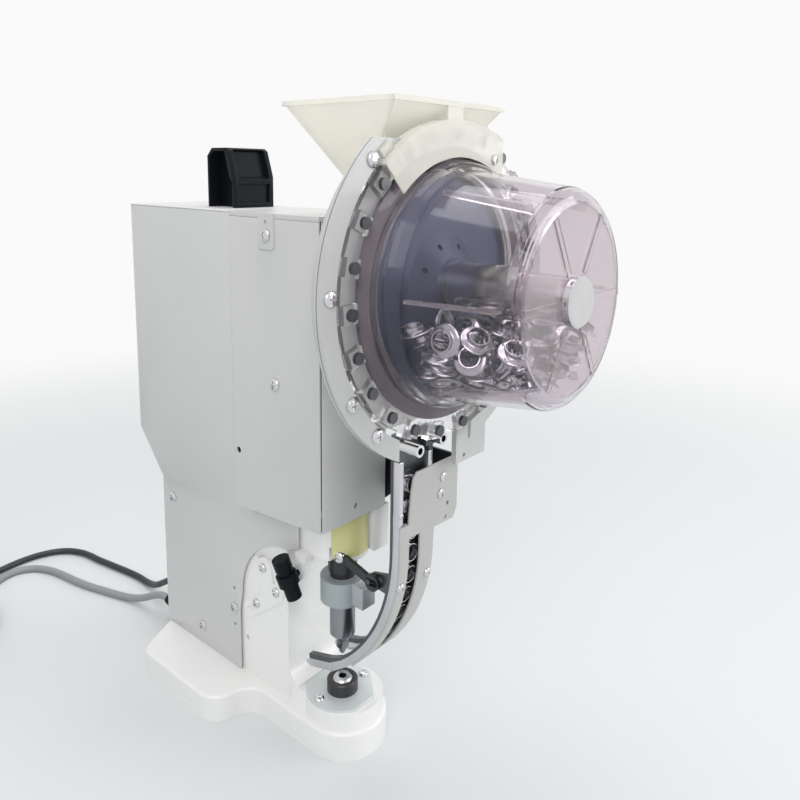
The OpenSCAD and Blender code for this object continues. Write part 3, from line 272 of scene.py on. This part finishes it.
def noise_at(group, scale_from, detail, stretch=None):
    """A noise texture in the piece's own coordinates, stretched along one axis if asked."""
    place = group.nodes.new("ShaderNodeTexCoord")
    noise = group.nodes.new("ShaderNodeTexNoise")
    noise.inputs["Detail"].default_value = detail
    if stretch:
        mapping = group.nodes.new("ShaderNodeMapping")
        mapping.inputs["Scale"].default_value = stretch
        group.links.new(place.outputs["Object"], mapping.inputs["Vector"])
        group.links.new(mapping.outputs["Vector"], noise.inputs["Vector"])
    else:
        group.links.new(place.outputs["Object"], noise.inputs["Vector"])
    group.links.new(scale_from, noise.inputs["Scale"])
    return noise


def remap(group, source, low, high):
    """Maps a noise value to the range between two sockets or numbers."""
    node = group.nodes.new("ShaderNodeMapRange")
    node.inputs["From Min"].default_value = NOISE_LOW
    node.inputs["From Max"].default_value = NOISE_HIGH
    group.links.new(source, node.inputs["Value"])
    for value, label in ((low, "To Min"), (high, "To Max")):
        if isinstance(value, (int, float)):
            node.inputs[label].default_value = value
        else:
            group.links.new(value, node.inputs[label])
    return node.outputs["Result"]


def surface_group(name, stretch=None):
    """A group that varies a colour and a roughness and gives a fine bump."""
    group, given, result = new_group(name, [
        ("Colour", COLOUR, (0.8, 0.8, 0.8, 1)), ("Darker", COLOUR, (0.7, 0.7, 0.7, 1)),
        ("Drift Scale", FLOAT, 9.0), ("Grain Scale", FLOAT, 1500.0), ("Bump", FLOAT, 0.05),
        ("Smoothest", FLOAT, 0.3), ("Roughest", FLOAT, 0.45),
    ], [("Colour", COLOUR), ("Roughness", FLOAT), ("Normal", VECTOR)])
    drift = noise_at(group, given.outputs["Drift Scale"], DRIFT_DETAIL, stretch)
    grain = noise_at(group, given.outputs["Grain Scale"], GRAIN_DETAIL, stretch)
    mix = group.nodes.new("ShaderNodeMix")
    mix.data_type = "RGBA"
    group.links.new(remap(group, drift.outputs["Fac"], 0.0, 1.0), mix.inputs["Factor"])
    group.links.new(given.outputs["Colour"], mix.inputs[MIX_A])
    group.links.new(given.outputs["Darker"], mix.inputs[MIX_B])
    group.links.new(mix.outputs[MIX_RESULT], result.inputs["Colour"])
    rough = remap(group, drift.outputs["Fac"], given.outputs["Smoothest"], given.outputs["Roughest"])
    group.links.new(rough, result.inputs["Roughness"])
    bump = group.nodes.new("ShaderNodeBump")
    bump.inputs["Distance"].default_value = BUMP_DEPTH
    group.links.new(given.outputs["Bump"], bump.inputs["Strength"])
    group.links.new(grain.outputs["Fac"], bump.inputs["Height"])
    group.links.new(bump.outputs["Normal"], result.inputs["Normal"])
    return group


powder_coat = surface_group("powder coat")
print("group:", powder_coat.name, [s.name for s in powder_coat.interface.items_tree])

# %% [markdown]
# Ground steel has fine lines from the wheel. An anisotropic shader could hint at them, but lines
# that can be seen look more real on pieces this near. The same group maker gives them: the noise
# is stretched along the piece, so that its pebbles become lines. The maker of materials below
# then joins either group to a Principled shader.

# %% Ground steel group and the material maker
LINE_STRETCH = (1, 1, 0.03)
ground_steel = surface_group("ground steel", stretch=LINE_STRETCH)


def finish(name, group, colour, darker, smoothest, roughest, metallic=0.0, drift=9.0, grain=1500.0,
           bump=0.05, **sockets):
    """A material whose colour, roughness and normal come from one of the surface groups."""
    made, tree, shader = principled(name, colour, smoothest, metallic, **sockets)
    use = tree.nodes.new("ShaderNodeGroup")
    use.node_tree = group
    for label, value in (("Colour", (*colour, 1)), ("Darker", (*darker, 1)), ("Drift Scale", drift),
                         ("Grain Scale", grain), ("Bump", bump), ("Smoothest", smoothest),
                         ("Roughest", roughest)):
        use.inputs[label].default_value = value
    tree.links.new(use.outputs["Colour"], shader.inputs["Base Color"])
    tree.links.new(use.outputs["Roughness"], shader.inputs["Roughness"])
    tree.links.new(use.outputs["Normal"], shader.inputs["Normal"])
    return made


def shade(colour, factor):
    """The same colour, darker or lighter."""
    return tuple(min(1.0, v * factor) for v in colour)


print("group:", ground_steel.name, "maker:", finish.__name__, shade.__name__)

# %% [markdown]
# Five light paints cover the machine: a warm thick white on the casting, a cool grey on the column
# and rear covers, a light grey on the head's front, a darker copy of that light grey on the chute's
# cover, which is painted shade, and a glossy one on the feeder's ring. One paint with a brightness
# mask could do it, but separate paints are easy to tune one by one. Black, the clamp's grey and the
# pale yellow of the blank label complete the table.

# %% Paints
CAST_WHITE = (0.9, 0.895, 0.88)
COVER_GREY = (0.64, 0.64, 0.635)
HEAD_GREY = (0.62, 0.62, 0.61)
# The chute's cover has the same light paint as the head; this darker copy paints in the shade that
# falls on it.
BRACKET_SHADED_GREY = (0.48, 0.478, 0.462)
cast_white = finish("cast white", powder_coat, CAST_WHITE, shade(CAST_WHITE, 0.97), 0.26, 0.36,
                    drift=14, grain=420, bump=0.12, Coat_Weight=0.25)
cover_grey = finish("cover grey", powder_coat, COVER_GREY, shade(COVER_GREY, 0.965), 0.36, 0.46,
                    bump=0.10)
head_grey = finish("head grey", powder_coat, HEAD_GREY, shade(HEAD_GREY, 0.965), 0.34, 0.44,
                   bump=0.10)
bracket_shaded_grey = finish("bracket grey with painted shade", powder_coat, BRACKET_SHADED_GREY, shade(BRACKET_SHADED_GREY, 0.965), 0.34,
                      0.44, bump=0.08)
ring_white = finish("ring paint", powder_coat, (0.545, 0.545, 0.54), (0.52, 0.52, 0.515), 0.25, 0.35,
                    bump=0.05, Coat_Weight=0.3)
satin_black = finish("satin black", powder_coat, (0.018, 0.018, 0.02), (0.028, 0.028, 0.03),
                     0.28, 0.42, bump=0.08)
clamp_grey = finish("clamp grey", powder_coat, (0.4, 0.445, 0.455), (0.36, 0.4, 0.41), 0.45, 0.6,
                    metallic=0.3, bump=0.12)
label_yellow = finish("blank label", powder_coat, (0.66, 0.66, 0.3), (0.62, 0.62, 0.27), 0.3, 0.4,
                      bump=0.02)
print("paints:", cast_white.name, cover_grey.name, head_grey.name, ring_white.name)

# %% [markdown]
# Machine steel comes in several states: ground and bright on the rails, darker where it is a tool,
# satin on the nose plate, blued behind the drum and nickel-plated on screws and eyelets. A mirror
# metal would be simpler, but it would show only the white room. A little roughness and a colour
# that drifts make each state readable.

# %% Metals
bright_steel = finish("bright steel", ground_steel, (0.62, 0.63, 0.65), (0.52, 0.53, 0.55), 0.16, 0.3,
                      metallic=1, drift=60, grain=2600, bump=0.05)
tool_steel = finish("tool steel", ground_steel, (0.3, 0.31, 0.33), (0.22, 0.23, 0.25), 0.24, 0.38,
                    metallic=1, drift=80, grain=2600, bump=0.06)
plate_steel = finish("satin plate", powder_coat, (0.72, 0.76, 0.76), (0.66, 0.7, 0.7), 0.42, 0.58,
                     metallic=0.35, drift=50, grain=900, bump=0.06)
dark_steel = finish("dark steel", ground_steel, (0.12, 0.125, 0.135), (0.08, 0.085, 0.09), 0.3, 0.45,
                    metallic=0.8, drift=40, grain=2000, bump=0.05)
blue_black = finish("blued plate", powder_coat, (0.04, 0.052, 0.098), (0.053, 0.066, 0.12), 0.25, 0.35,
                    metallic=0.3, bump=0.03)
nickel = finish("bright nickel", powder_coat, (0.68, 0.68, 0.69), (0.6, 0.6, 0.61), 0.1, 0.2,
                metallic=1, drift=30, bump=0.02)
eyelet_nickel = finish("eyelet nickel", powder_coat, (0.58, 0.58, 0.6), (0.46, 0.46, 0.48), 0.14, 0.26,
                       metallic=1, drift=90, bump=0.02)
bronze = finish("bronze", powder_coat, (0.55, 0.36, 0.14), (0.45, 0.3, 0.12), 0.3, 0.4, metallic=1)
print("metals:", bright_steel.name, tool_steel.name, dark_steel.name, nickel.name)

# %% [markdown]
# The drum is a moulded clear plastic with a faint pink cast. Plain transparency would show what is
# inside, but without any bend or rim. So it is real transmission through the wall's own
# thickness. Its index is set lower than glass, which keeps the thin ribs pale, and the front wall
# is a little milky. Such a wall stops the lamps' light in a render, so most of it is let through
# unbent. The funnel is a milky cream: some light passes, but nothing can be read through it.

# %% Plastics and rubber
def let_light_in(tree, shader, share):
    """Lets a share of the lamps' light straight through: a shadow ray can't bend as real light does."""
    rays = tree.nodes.new("ShaderNodeLightPath")
    solid = tree.nodes.new("ShaderNodeMath")
    solid.operation = "MULTIPLY_ADD"
    solid.inputs[1].default_value = -share
    solid.inputs[2].default_value = 1.0
    tree.links.new(rays.outputs["Is Shadow Ray"], solid.inputs[0])
    tree.links.new(solid.outputs[0], shader.inputs["Alpha"])


clear_drum, drum_tree, drum_shader = principled(
    "clear drum", (0.81, 0.765, 0.805), 0.03, Transmission_Weight=1.0, IOR=1.2, Coat_Weight=0.4)
clear_front, front_tree, front_shader = principled(
    "clear drum front", (0.73, 0.675, 0.695), 0.03, Transmission_Weight=0.86, IOR=1.14, Coat_Weight=0.5)
clear_ring, ring_tree, ring_shader = principled(
    "clear pocket ring", (0.95, 0.945, 0.95), 0.08, Transmission_Weight=0.9, IOR=1.24, Coat_Weight=0.3)
LIGHT_SHARE = 0.85
for tree, shader in ((drum_tree, drum_shader), (front_tree, front_shader), (ring_tree, ring_shader)):
    let_light_in(tree, shader, LIGHT_SHARE)
cream_milk = finish("cream plastic", powder_coat, (0.995, 0.98, 0.915), (0.99, 0.97, 0.9), 0.34,
                    0.44, bump=0.04, Transmission_Weight=0.55, IOR=1.3)
cream_guard = finish("cream clear plastic", powder_coat, (0.985, 0.97, 0.905), (0.975, 0.955, 0.885),
                     0.2, 0.3, bump=0.02, Transmission_Weight=0.5, IOR=1.3)
black_plastic = finish("black plastic", powder_coat, (0.006, 0.008, 0.01), (0.009, 0.011, 0.014),
                       0.38, 0.46, bump=0.1, Specular_IOR_Level=0.1)
grey_jacket = finish("grey cable jacket", powder_coat, (0.29, 0.295, 0.31), (0.265, 0.27, 0.285),
                     0.38, 0.48, bump=0.03)
black_jacket = finish("black cable jacket", powder_coat, (0.015, 0.017, 0.023),
                      (0.021, 0.023, 0.03), 0.36, 0.46, bump=0.03)
belt_rubber = finish("belt rubber", powder_coat, (0.03, 0.03, 0.03), (0.04, 0.04, 0.04), 0.6, 0.75)
print("plastics:", clear_drum.name, cream_milk.name, black_plastic.name)

# %% [markdown]
# Every piece of the machine gets its finish from one table. Each piece could be given its
# material where it is made, but the solids all come in at once, and in one table a wrong or
# missing finish is seen at a glance.

# %% Finishes of the part's nodes
FINISHES = {
    cast_white: ["frame_casting", "laser_bracket"],
    cover_grey: ["left_cover", "right_cover", "rear_cover", "rear_top_cover"],
    clamp_grey: ["tool_clamp"],
    plate_steel: ["nose_plate"],
    head_grey: ["side_panel", "front_panel", "front_top_cover"],
    bracket_shaded_grey: ["chute_cover"],
    ring_white: ["ring_back", "ring_front"],
    satin_black: ["die_collar", "chute_support", "chute_stop", "lock_nut"],
    bright_steel: ["lower_die", "chute_rails", "chute_pivot_pin", "drum_shaft",
                   "wrist_pin", "crankshaft", "shaft_bearings", "motor_pulley"],
    tool_steel: ["ram", "punch", "pilot_tip", "pilot_spring", "pedal_plug"],
    dark_steel: ["connecting_rod", "crank_pulley", "main_motor", "drum_motor", "drum_support",
                 "pocket_nuts", "chute_core"],
    blue_black: ["drum_back_plate"],
    nickel: ["machine_screws", "shaft_sleeve", "drum_cap", "chute_screws"],
    eyelet_nickel: ["drum_eyelets", "chute_eyelets"],
    bronze: ["ram_bushes"],
    clear_drum: ["drum_shell"],
    clear_front: ["drum_front"],
    clear_ring: ["pocket_ring"],
    cream_milk: ["funnel"],
    cream_guard: ["funnel_guard"],
    black_plastic: ["hood", "laser_pointer", "cable_glands", "power_plug"],
    grey_jacket: ["power_cord", "power_coil"],
    black_jacket: ["pedal_cord", "pedal_coil"],
    belt_rubber: ["drive_belt"],
}
for material, names in FINISHES.items():
    for name in names:
        nodes[name].data.materials.clear()
        nodes[name].data.materials.append(material)
finished = sum(len(names) for names in FINISHES.values())
print("finished nodes:", finished, "of", len(nodes))

# %% [markdown]
# Sheet covers are folded and castings are ground, so none of their edges is knife sharp. A Bevel
# modifier would also cut the many short edges between the flat faces of a curve. Here Blender
# rounds a copy of each solid: flat faces are merged first, so that only true edges are left, and
# then the outward edges get a bevel of the size that the piece has. The copy stands for the node.

# %% Rounded edges
MERGE = 2e-6                 # metres between points that count as one
FLAT, SHARP = 0.6, 38        # degrees between faces: less is flat, more is a true edge


def rounded(name, width, segments=2, choose=None, smooth=32):
    """Replaces a node by a copy whose outward edges are rounded by a width in millimetres."""
    work = bmesh.new()
    work.from_mesh(nodes[name].data)
    bmesh.ops.remove_doubles(work, verts=work.verts, dist=MERGE)
    bmesh.ops.dissolve_limit(work, angle_limit=math.radians(FLAT), verts=work.verts,
                             edges=work.edges)
    edges = [e for e in work.edges if len(e.link_faces) == 2 and e.is_convex
             and e.calc_face_angle() > math.radians(SHARP) and (choose is None or choose(e))]
    bmesh.ops.bevel(work, geom=edges, offset=mm(width), segments=segments, profile=0.5,
                    affect="EDGES", clamp_overlap=True)
    mesh = bpy.data.meshes.new(name + "_rounded")
    work.to_mesh(mesh)
    work.free()
    made = new_object(name + "_rounded", mesh, nodes[name].data.materials[0])
    mesh.polygons.foreach_set("use_smooth", [True] * len(mesh.polygons))
    mesh.set_sharp_from_angle(angle=math.radians(smooth))
    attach(made, nodes[name]["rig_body"])
    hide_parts(name)
    print(made.name, "edges:", len(edges), "faces:", len(mesh.polygons))
    return made


def longer_than(length):
    """Chooses the edges longer than a length in millimetres."""
    return lambda edge: edge.calc_length() > mm(length)


def on_flange_top(edge):
    """Chooses the edges round the top of the base's flange."""
    return all(abs(v.co.z - FLANGE_TOP) < SAME_HEIGHT for v in edge.verts)


print("rounding:", rounded.__name__, longer_than.__name__, on_flange_top.__name__)

# %% [markdown]
# Only the casting's flange has a wide, cast radius, and only its top edge shows it. The folded
# covers have a small one, and short edges, such as those of slots and holes, stay as they are.

# %% Round the covers and the casting
FLANGE_TOP = mm(22.4)
SAME_HEIGHT = 1e-5           # metres
LONG_EDGE, PLATE_EDGE = 3, 1.5
ROUNDING = {"left_cover": 0.5, "right_cover": 0.5, "rear_cover": 0.5, "side_panel": 0.5,
            "front_panel": 0.4, "front_top_cover": 0.55, "rear_top_cover": 0.55,
            "tool_clamp": 0.8, "chute_rails": 0.5, "chute_cover": 0.35}
rounded("frame_casting", 2.2, segments=4, choose=on_flange_top)
for name, width in ROUNDING.items():
    rounded(name, width, choose=longer_than(LONG_EDGE))
rounded("hood", 1.2, segments=3, choose=longer_than(LONG_EDGE))
rounded("nose_plate", 0.35, choose=longer_than(PLATE_EDGE))

# %% [markdown]
# A blank, pale yellow patch is glued round the front of the ram's housing. A colour painted on the
# housing could show it, but a patch has an edge of its own that catches the light. It is a thin
# strip bent to the housing's own radius, a tenth of a millimetre proud, with rounded corners.

# %% Blank label
HOUSING_R, TOOL_X, PROUD = 20, -2.5, 0.1
LABEL_FROM, LABEL_TO = -160, -63       # degrees round the housing
LABEL_LOW, LABEL_HIGH = 160.5, 191.5
LABEL_ROWS, LABEL_STEPS = 10, 32
CORNER = 3                             # degrees by which a corner draws in
STRAIGHT = 4.2                         # parts of half the height that are straight, to one that curves
points, faces = [], []
for j in range(LABEL_ROWS + 1):
    up = j / LABEL_ROWS
    into_corner = max(0, abs(2 * up - 1) * (STRAIGHT + 1) - STRAIGHT)
    inset = CORNER * (1 - math.sqrt(max(0, 1 - into_corner ** 2)))
    for i in range(LABEL_STEPS + 1):
        side = i / LABEL_STEPS
        angle = math.radians(LABEL_FROM + inset + side * (LABEL_TO - LABEL_FROM - 2 * inset))
        points.append((TOOL_X + (HOUSING_R + PROUD) * math.cos(angle),
                       (HOUSING_R + PROUD) * math.sin(angle),
                       LABEL_LOW + up * (LABEL_HIGH - LABEL_LOW)))
for j in range(LABEL_ROWS):
    for i in range(LABEL_STEPS):
        a = j * (LABEL_STEPS + 1) + i
        faces.append((a, a + 1, a + LABEL_STEPS + 2, a + LABEL_STEPS + 1))
label = new_object("label_patch", mesh_of("label_patch", points, faces), label_yellow)
label.data.polygons.foreach_set("use_smooth", [True] * len(faces))
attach(label, "machine")
print("label:", len(faces), "faces")

# %% [markdown]
# An eyelet is a short tube with a rolled flange. A Screw modifier could turn its profile round an
# axis, but over a hundred of them are wanted in one mesh, so the points are worked out directly:
# one profile, turned in steps, at each place in a list.

# %% One eyelet
PROFILE = [(5.7, 4.5), (6.3, 4.5), (6.3, 1.6), (6.9, 1.15), (8.6, 1.05), (9.6, 0.75), (10, 0.3),
           (9.8, 0), (9, 0.25), (7.4, 0.35), (6.3, 0.2), (5.7, 0.9)]
EYELET_SIDES = 28


def eyelets(name, places, body, replaced):
    """One mesh with an eyelet at each matrix in a list of places in millimetres."""
    points, faces = [], []
    count = len(PROFILE)
    for place in places:
        first = len(points)
        for k in range(EYELET_SIDES):
            turn = 2 * math.pi * k / EYELET_SIDES
            points += [place @ Vector((r * math.cos(turn), r * math.sin(turn), z)) for r, z in PROFILE]
        for k in range(EYELET_SIDES):
            here, there = first + k * count, first + (k + 1) % EYELET_SIDES * count
            faces += [(here + i, here + (i + 1) % count, there + (i + 1) % count, there + i)
                      for i in range(count)]
    mesh = mesh_of(name, points, faces)
    mesh.polygons.foreach_set("use_smooth", [True] * len(faces))
    mesh.set_sharp_from_angle(angle=math.radians(50))
    made = new_object(name, mesh, eyelet_nickel)
    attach(made, body)
    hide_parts(replaced)
    print(name, "has", len(places), "eyelets and", len(faces), "faces")
    return made


# %% [markdown]
# The loose eyelets lie in a heap along the bottom of the drum. Blender's rigid bodies could drop
# them, but that takes long and may end a little differently each time. Here each eyelet is tried
# in many random poses, and the one that comes to rest lowest is kept. A ring of small balls stands
# for the flange and another for the tube, which makes the test for touching simple.

# %% Balls that stand for an eyelet, and the room in the drum
DRUM_Z = 372.5
BALL = 1.35                            # radius of a ball
FLANGE_RING, TUBE_RING = (8.6, 0.5), (6, 4.0)      # radius and height of each ring of balls
FLANGE_BALLS = 14
ROOM_Y = [-178, -172, -170, -114, -112, -98]       # along the drum, and its inner radius there
ROOM_R = [50, 55, 57, 66, 67, 67]
turns = [2 * math.pi * k / FLANGE_BALLS for k in range(FLANGE_BALLS)]
probes = np.array([(r * math.cos(a), r * math.sin(a), z)
                   for (r, z), some in ((FLANGE_RING, turns), (TUBE_RING, turns[::2])) for a in some])


def inner_radius(y):
    """Room inside the drum's fins at a distance y along the axis, for the middle of a ball."""
    return np.interp(y, ROOM_Y, ROOM_R) - BALL


print("balls for one eyelet:", len(probes))

# %% [markdown]
# Every second pose lies nearly flat, as most eyelets in a real heap do, and a few of those lie
# with the flange down. The random numbers start from a fixed seed, so the heap is always the same.

# %% Heap of eyelets in the drum
HEAP_SEED, HEAP_COUNT, HEAP_TOP = 7, 112, 352
TRIES = 150
MOST_TILT = 0.5                        # radians, for the poses that lie nearly flat
SPREAD_X, SPREAD_Y = (-55, 55), (-168, -106)
WALL_FRONT, WALL_BACK = -177, -99
NOWHERE = 1e3
rng = np.random.default_rng(HEAP_SEED)
balls = np.zeros((0, 3))
heap = []
while len(heap) < HEAP_COUNT:
    turn = [Euler(v, "XYZ").to_matrix() for v in rng.uniform(0, 2 * math.pi, (TRIES, 3))]
    flat = rng.uniform(-MOST_TILT, MOST_TILT, (TRIES, 2))
    turn = [Euler((a[0] + (math.pi if k % 4 == 0 else 0), a[1], 0), "XYZ").to_matrix() if k % 2 else m
            for k, (m, a) in enumerate(zip(turn, flat))]
    turned = np.einsum("tij,pj->tpi", np.array(turn), probes)
    centre = np.stack([rng.uniform(*SPREAD_X, TRIES), rng.uniform(*SPREAD_Y, TRIES)], 1)
    across = turned[:, :, :2] + centre[:, None, :]
    room = inner_radius(across[:, :, 1])
    inside = ((np.abs(across[:, :, 0]) < room).all(1) & (across[:, :, 1] > WALL_FRONT).all(1)
              & (across[:, :, 1] < WALL_BACK).all(1))
    floor_z = DRUM_Z - np.sqrt(np.maximum(room ** 2 - across[:, :, 0] ** 2, 0)) - turned[:, :, 2]
    lowest = floor_z.max(1)
    if len(balls):
        near = ((across[:, :, None, :] - balls[None, None, :, :2]) ** 2).sum(3)
        reach = 4 * BALL ** 2 - near
        rest = np.where(reach > 0, balls[None, None, :, 2] + np.sqrt(np.maximum(reach, 0)),
                        -NOWHERE)
        lowest = np.maximum(lowest, (rest.max(2) - turned[:, :, 2]).max(1))
    lowest = np.where(inside, lowest, NOWHERE)
    k = int(lowest.argmin())
    if lowest[k] > HEAP_TOP:
        break
    spot = np.array([*centre[k], lowest[k]])
    balls = np.vstack([balls, turned[k] + spot])
    heap.append(Matrix.Translation(Vector(spot)) @ turn[k].to_4x4())
eyelets("loose_eyelets", heap, "machine", "drum_eyelets")
print("top of the heap:", round(float(balls[:, 2].max()), 1), "mm")

# %% [markdown]
# Both cables leave the back and run over the table to a put-away coil. A rope could be simulated,
# but it would end somewhere else than the solid one. So each is a curve through the same route and
# the same coil as in the part's own model, given here with the same few numbers, and the smooth
# cable lies where the solid tube is.

# %% Cable routes
POWER_D, PEDAL_D = 7.0, 6.5
power_route = [
    (-12, 231, 25), (-12, 244, 23.6), (-13, 256, 19), (-15, 268, 13), (-17, 281, 7.6),
    (-20, 295, 4.4), (-25, 311, 3.6), (-30, 327, 3.6), (-35, 343, 3.6), (-39, 360, 3.6),
    (-42, 377, 3.6), (-45, 394, 3.6), (-50, 411, 3.6), (-60, 426, 3.6), (-76, 433, 3.6),
    (-93, 429, 3.6), (-107, 418, 3.6), (-116, 403, 3.6), (-121, 387, 3.6), (-124, 371, 3.6)]
pedal_route = [
    (4, 231, 34), (4, 244, 32.6), (4, 256, 27.6), (5, 268, 20.4), (6, 280, 13),
    (8, 293, 7), (9, 307, 4), (9, 322, 3.6), (7, 339, 3.6), (4, 356, 3.6),
    (1, 373, 3.6), (-2, 390, 3.6), (-4, 407, 3.6), (-9, 424, 3.6), (-20, 439, 3.6),
    (-37, 448, 3.6), (-55, 451, 3.6), (-73, 450, 3.6), (-91, 447, 3.6), (-108, 443, 3.6),
    (-125, 440.5, 3.6)]
print("route points:", len(power_route), "and", len(pedal_route))

# %% [markdown]
# The part of a cable that isn't in use is put away as a flat coil of two layers: it winds in on the
# table, climbs by one thickness and winds out again on top. The points come from a formula, so
# the turns never touch. A short straight tail leads into the plug.

# %% Coil
COIL_GAP = 0.6
COIL_TAIL = 36
COIL_STEPS = 24                        # points in one turn
CLIMB_TURNS = 0.5                      # turns over which the coil climbs to its upper layer


def coil_after(route, thick, big_r, turns):
    """The points of a flat coil that starts where the route ends, winds in, climbs and winds out."""
    start = Vector(route[-1])
    ahead = start - Vector(route[-2])
    ahead.z = 0
    ahead.normalize()
    pitch = thick + COIL_GAP
    centre = start + thick * ahead + big_r * Vector((ahead.y, -ahead.x, 0))
    first = math.atan2(ahead.x, -ahead.y)
    count = math.ceil(turns * COIL_STEPS)
    points = []
    for i in range(count + 1):
        t = turns * i / count
        angle = first - 2 * math.pi * t
        radius = big_r - pitch * min(t, turns - t)
        climbed = min(1, max(0, (t - turns / 2 + CLIMB_TURNS / 2) / CLIMB_TURNS))
        lift = pitch * (1 - math.cos(math.pi * climbed)) / 2
        points.append(centre + Vector((radius * math.cos(angle), radius * math.sin(angle), lift)))
    end = first - 2 * math.pi * turns
    points.append(points[-1] + COIL_TAIL * Vector((math.sin(end), -math.cos(end), 0)))
    return points


def path_length(points):
    """Length of a line of points, in metres."""
    return sum((Vector(b) - Vector(a)).length for a, b in zip(points, points[1:])) / 1000


power_points = [Vector(p) for p in power_route] + coil_after(power_route, POWER_D, 51, 6.13)
pedal_points = [Vector(p) for p in pedal_route] + coil_after(pedal_route, PEDAL_D, 48, 6.05)
print("cable points:", len(power_points), "and", len(pedal_points))

# %% [markdown]
# A swept mesh could be built by hand, but a curve with a round bevel does the same and stays
# smooth: its handles are set by Blender, so that the cable bends gently through every point.

# %% Cables
def cable(name, points, thick, material):
    """A round cable along the points."""
    data = bpy.data.curves.new(name, "CURVE")
    data.dimensions = "3D"
    data.bevel_depth = mm(thick / 2)
    data.bevel_resolution = 5
    line = data.splines.new("BEZIER")
    line.bezier_points.add(len(points) - 1)
    for point, place in zip(line.bezier_points, points):
        point.co = mm(*place)
        point.handle_left_type = point.handle_right_type = "AUTO"
    data.materials.append(material)
    made = bpy.data.objects.new(name, data)
    scene.collection.objects.link(made)
    return made


power_cable = cable("power_cable", power_points, POWER_D, grey_jacket)
pedal_cable = cable("pedal_cable", pedal_points, PEDAL_D, black_jacket)
for piece, points, thick, replaced, plug in (
        (power_cable, power_points, POWER_D, ("power_cord", "power_coil"), "power_plug"),
        (pedal_cable, pedal_points, PEDAL_D, ("pedal_cord", "pedal_coil"), "pedal_plug")):
    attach(piece, "machine")
    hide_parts(*replaced)
    path_length(points)
    print(piece.name, "is", round(path_length(points), 3), "m long")
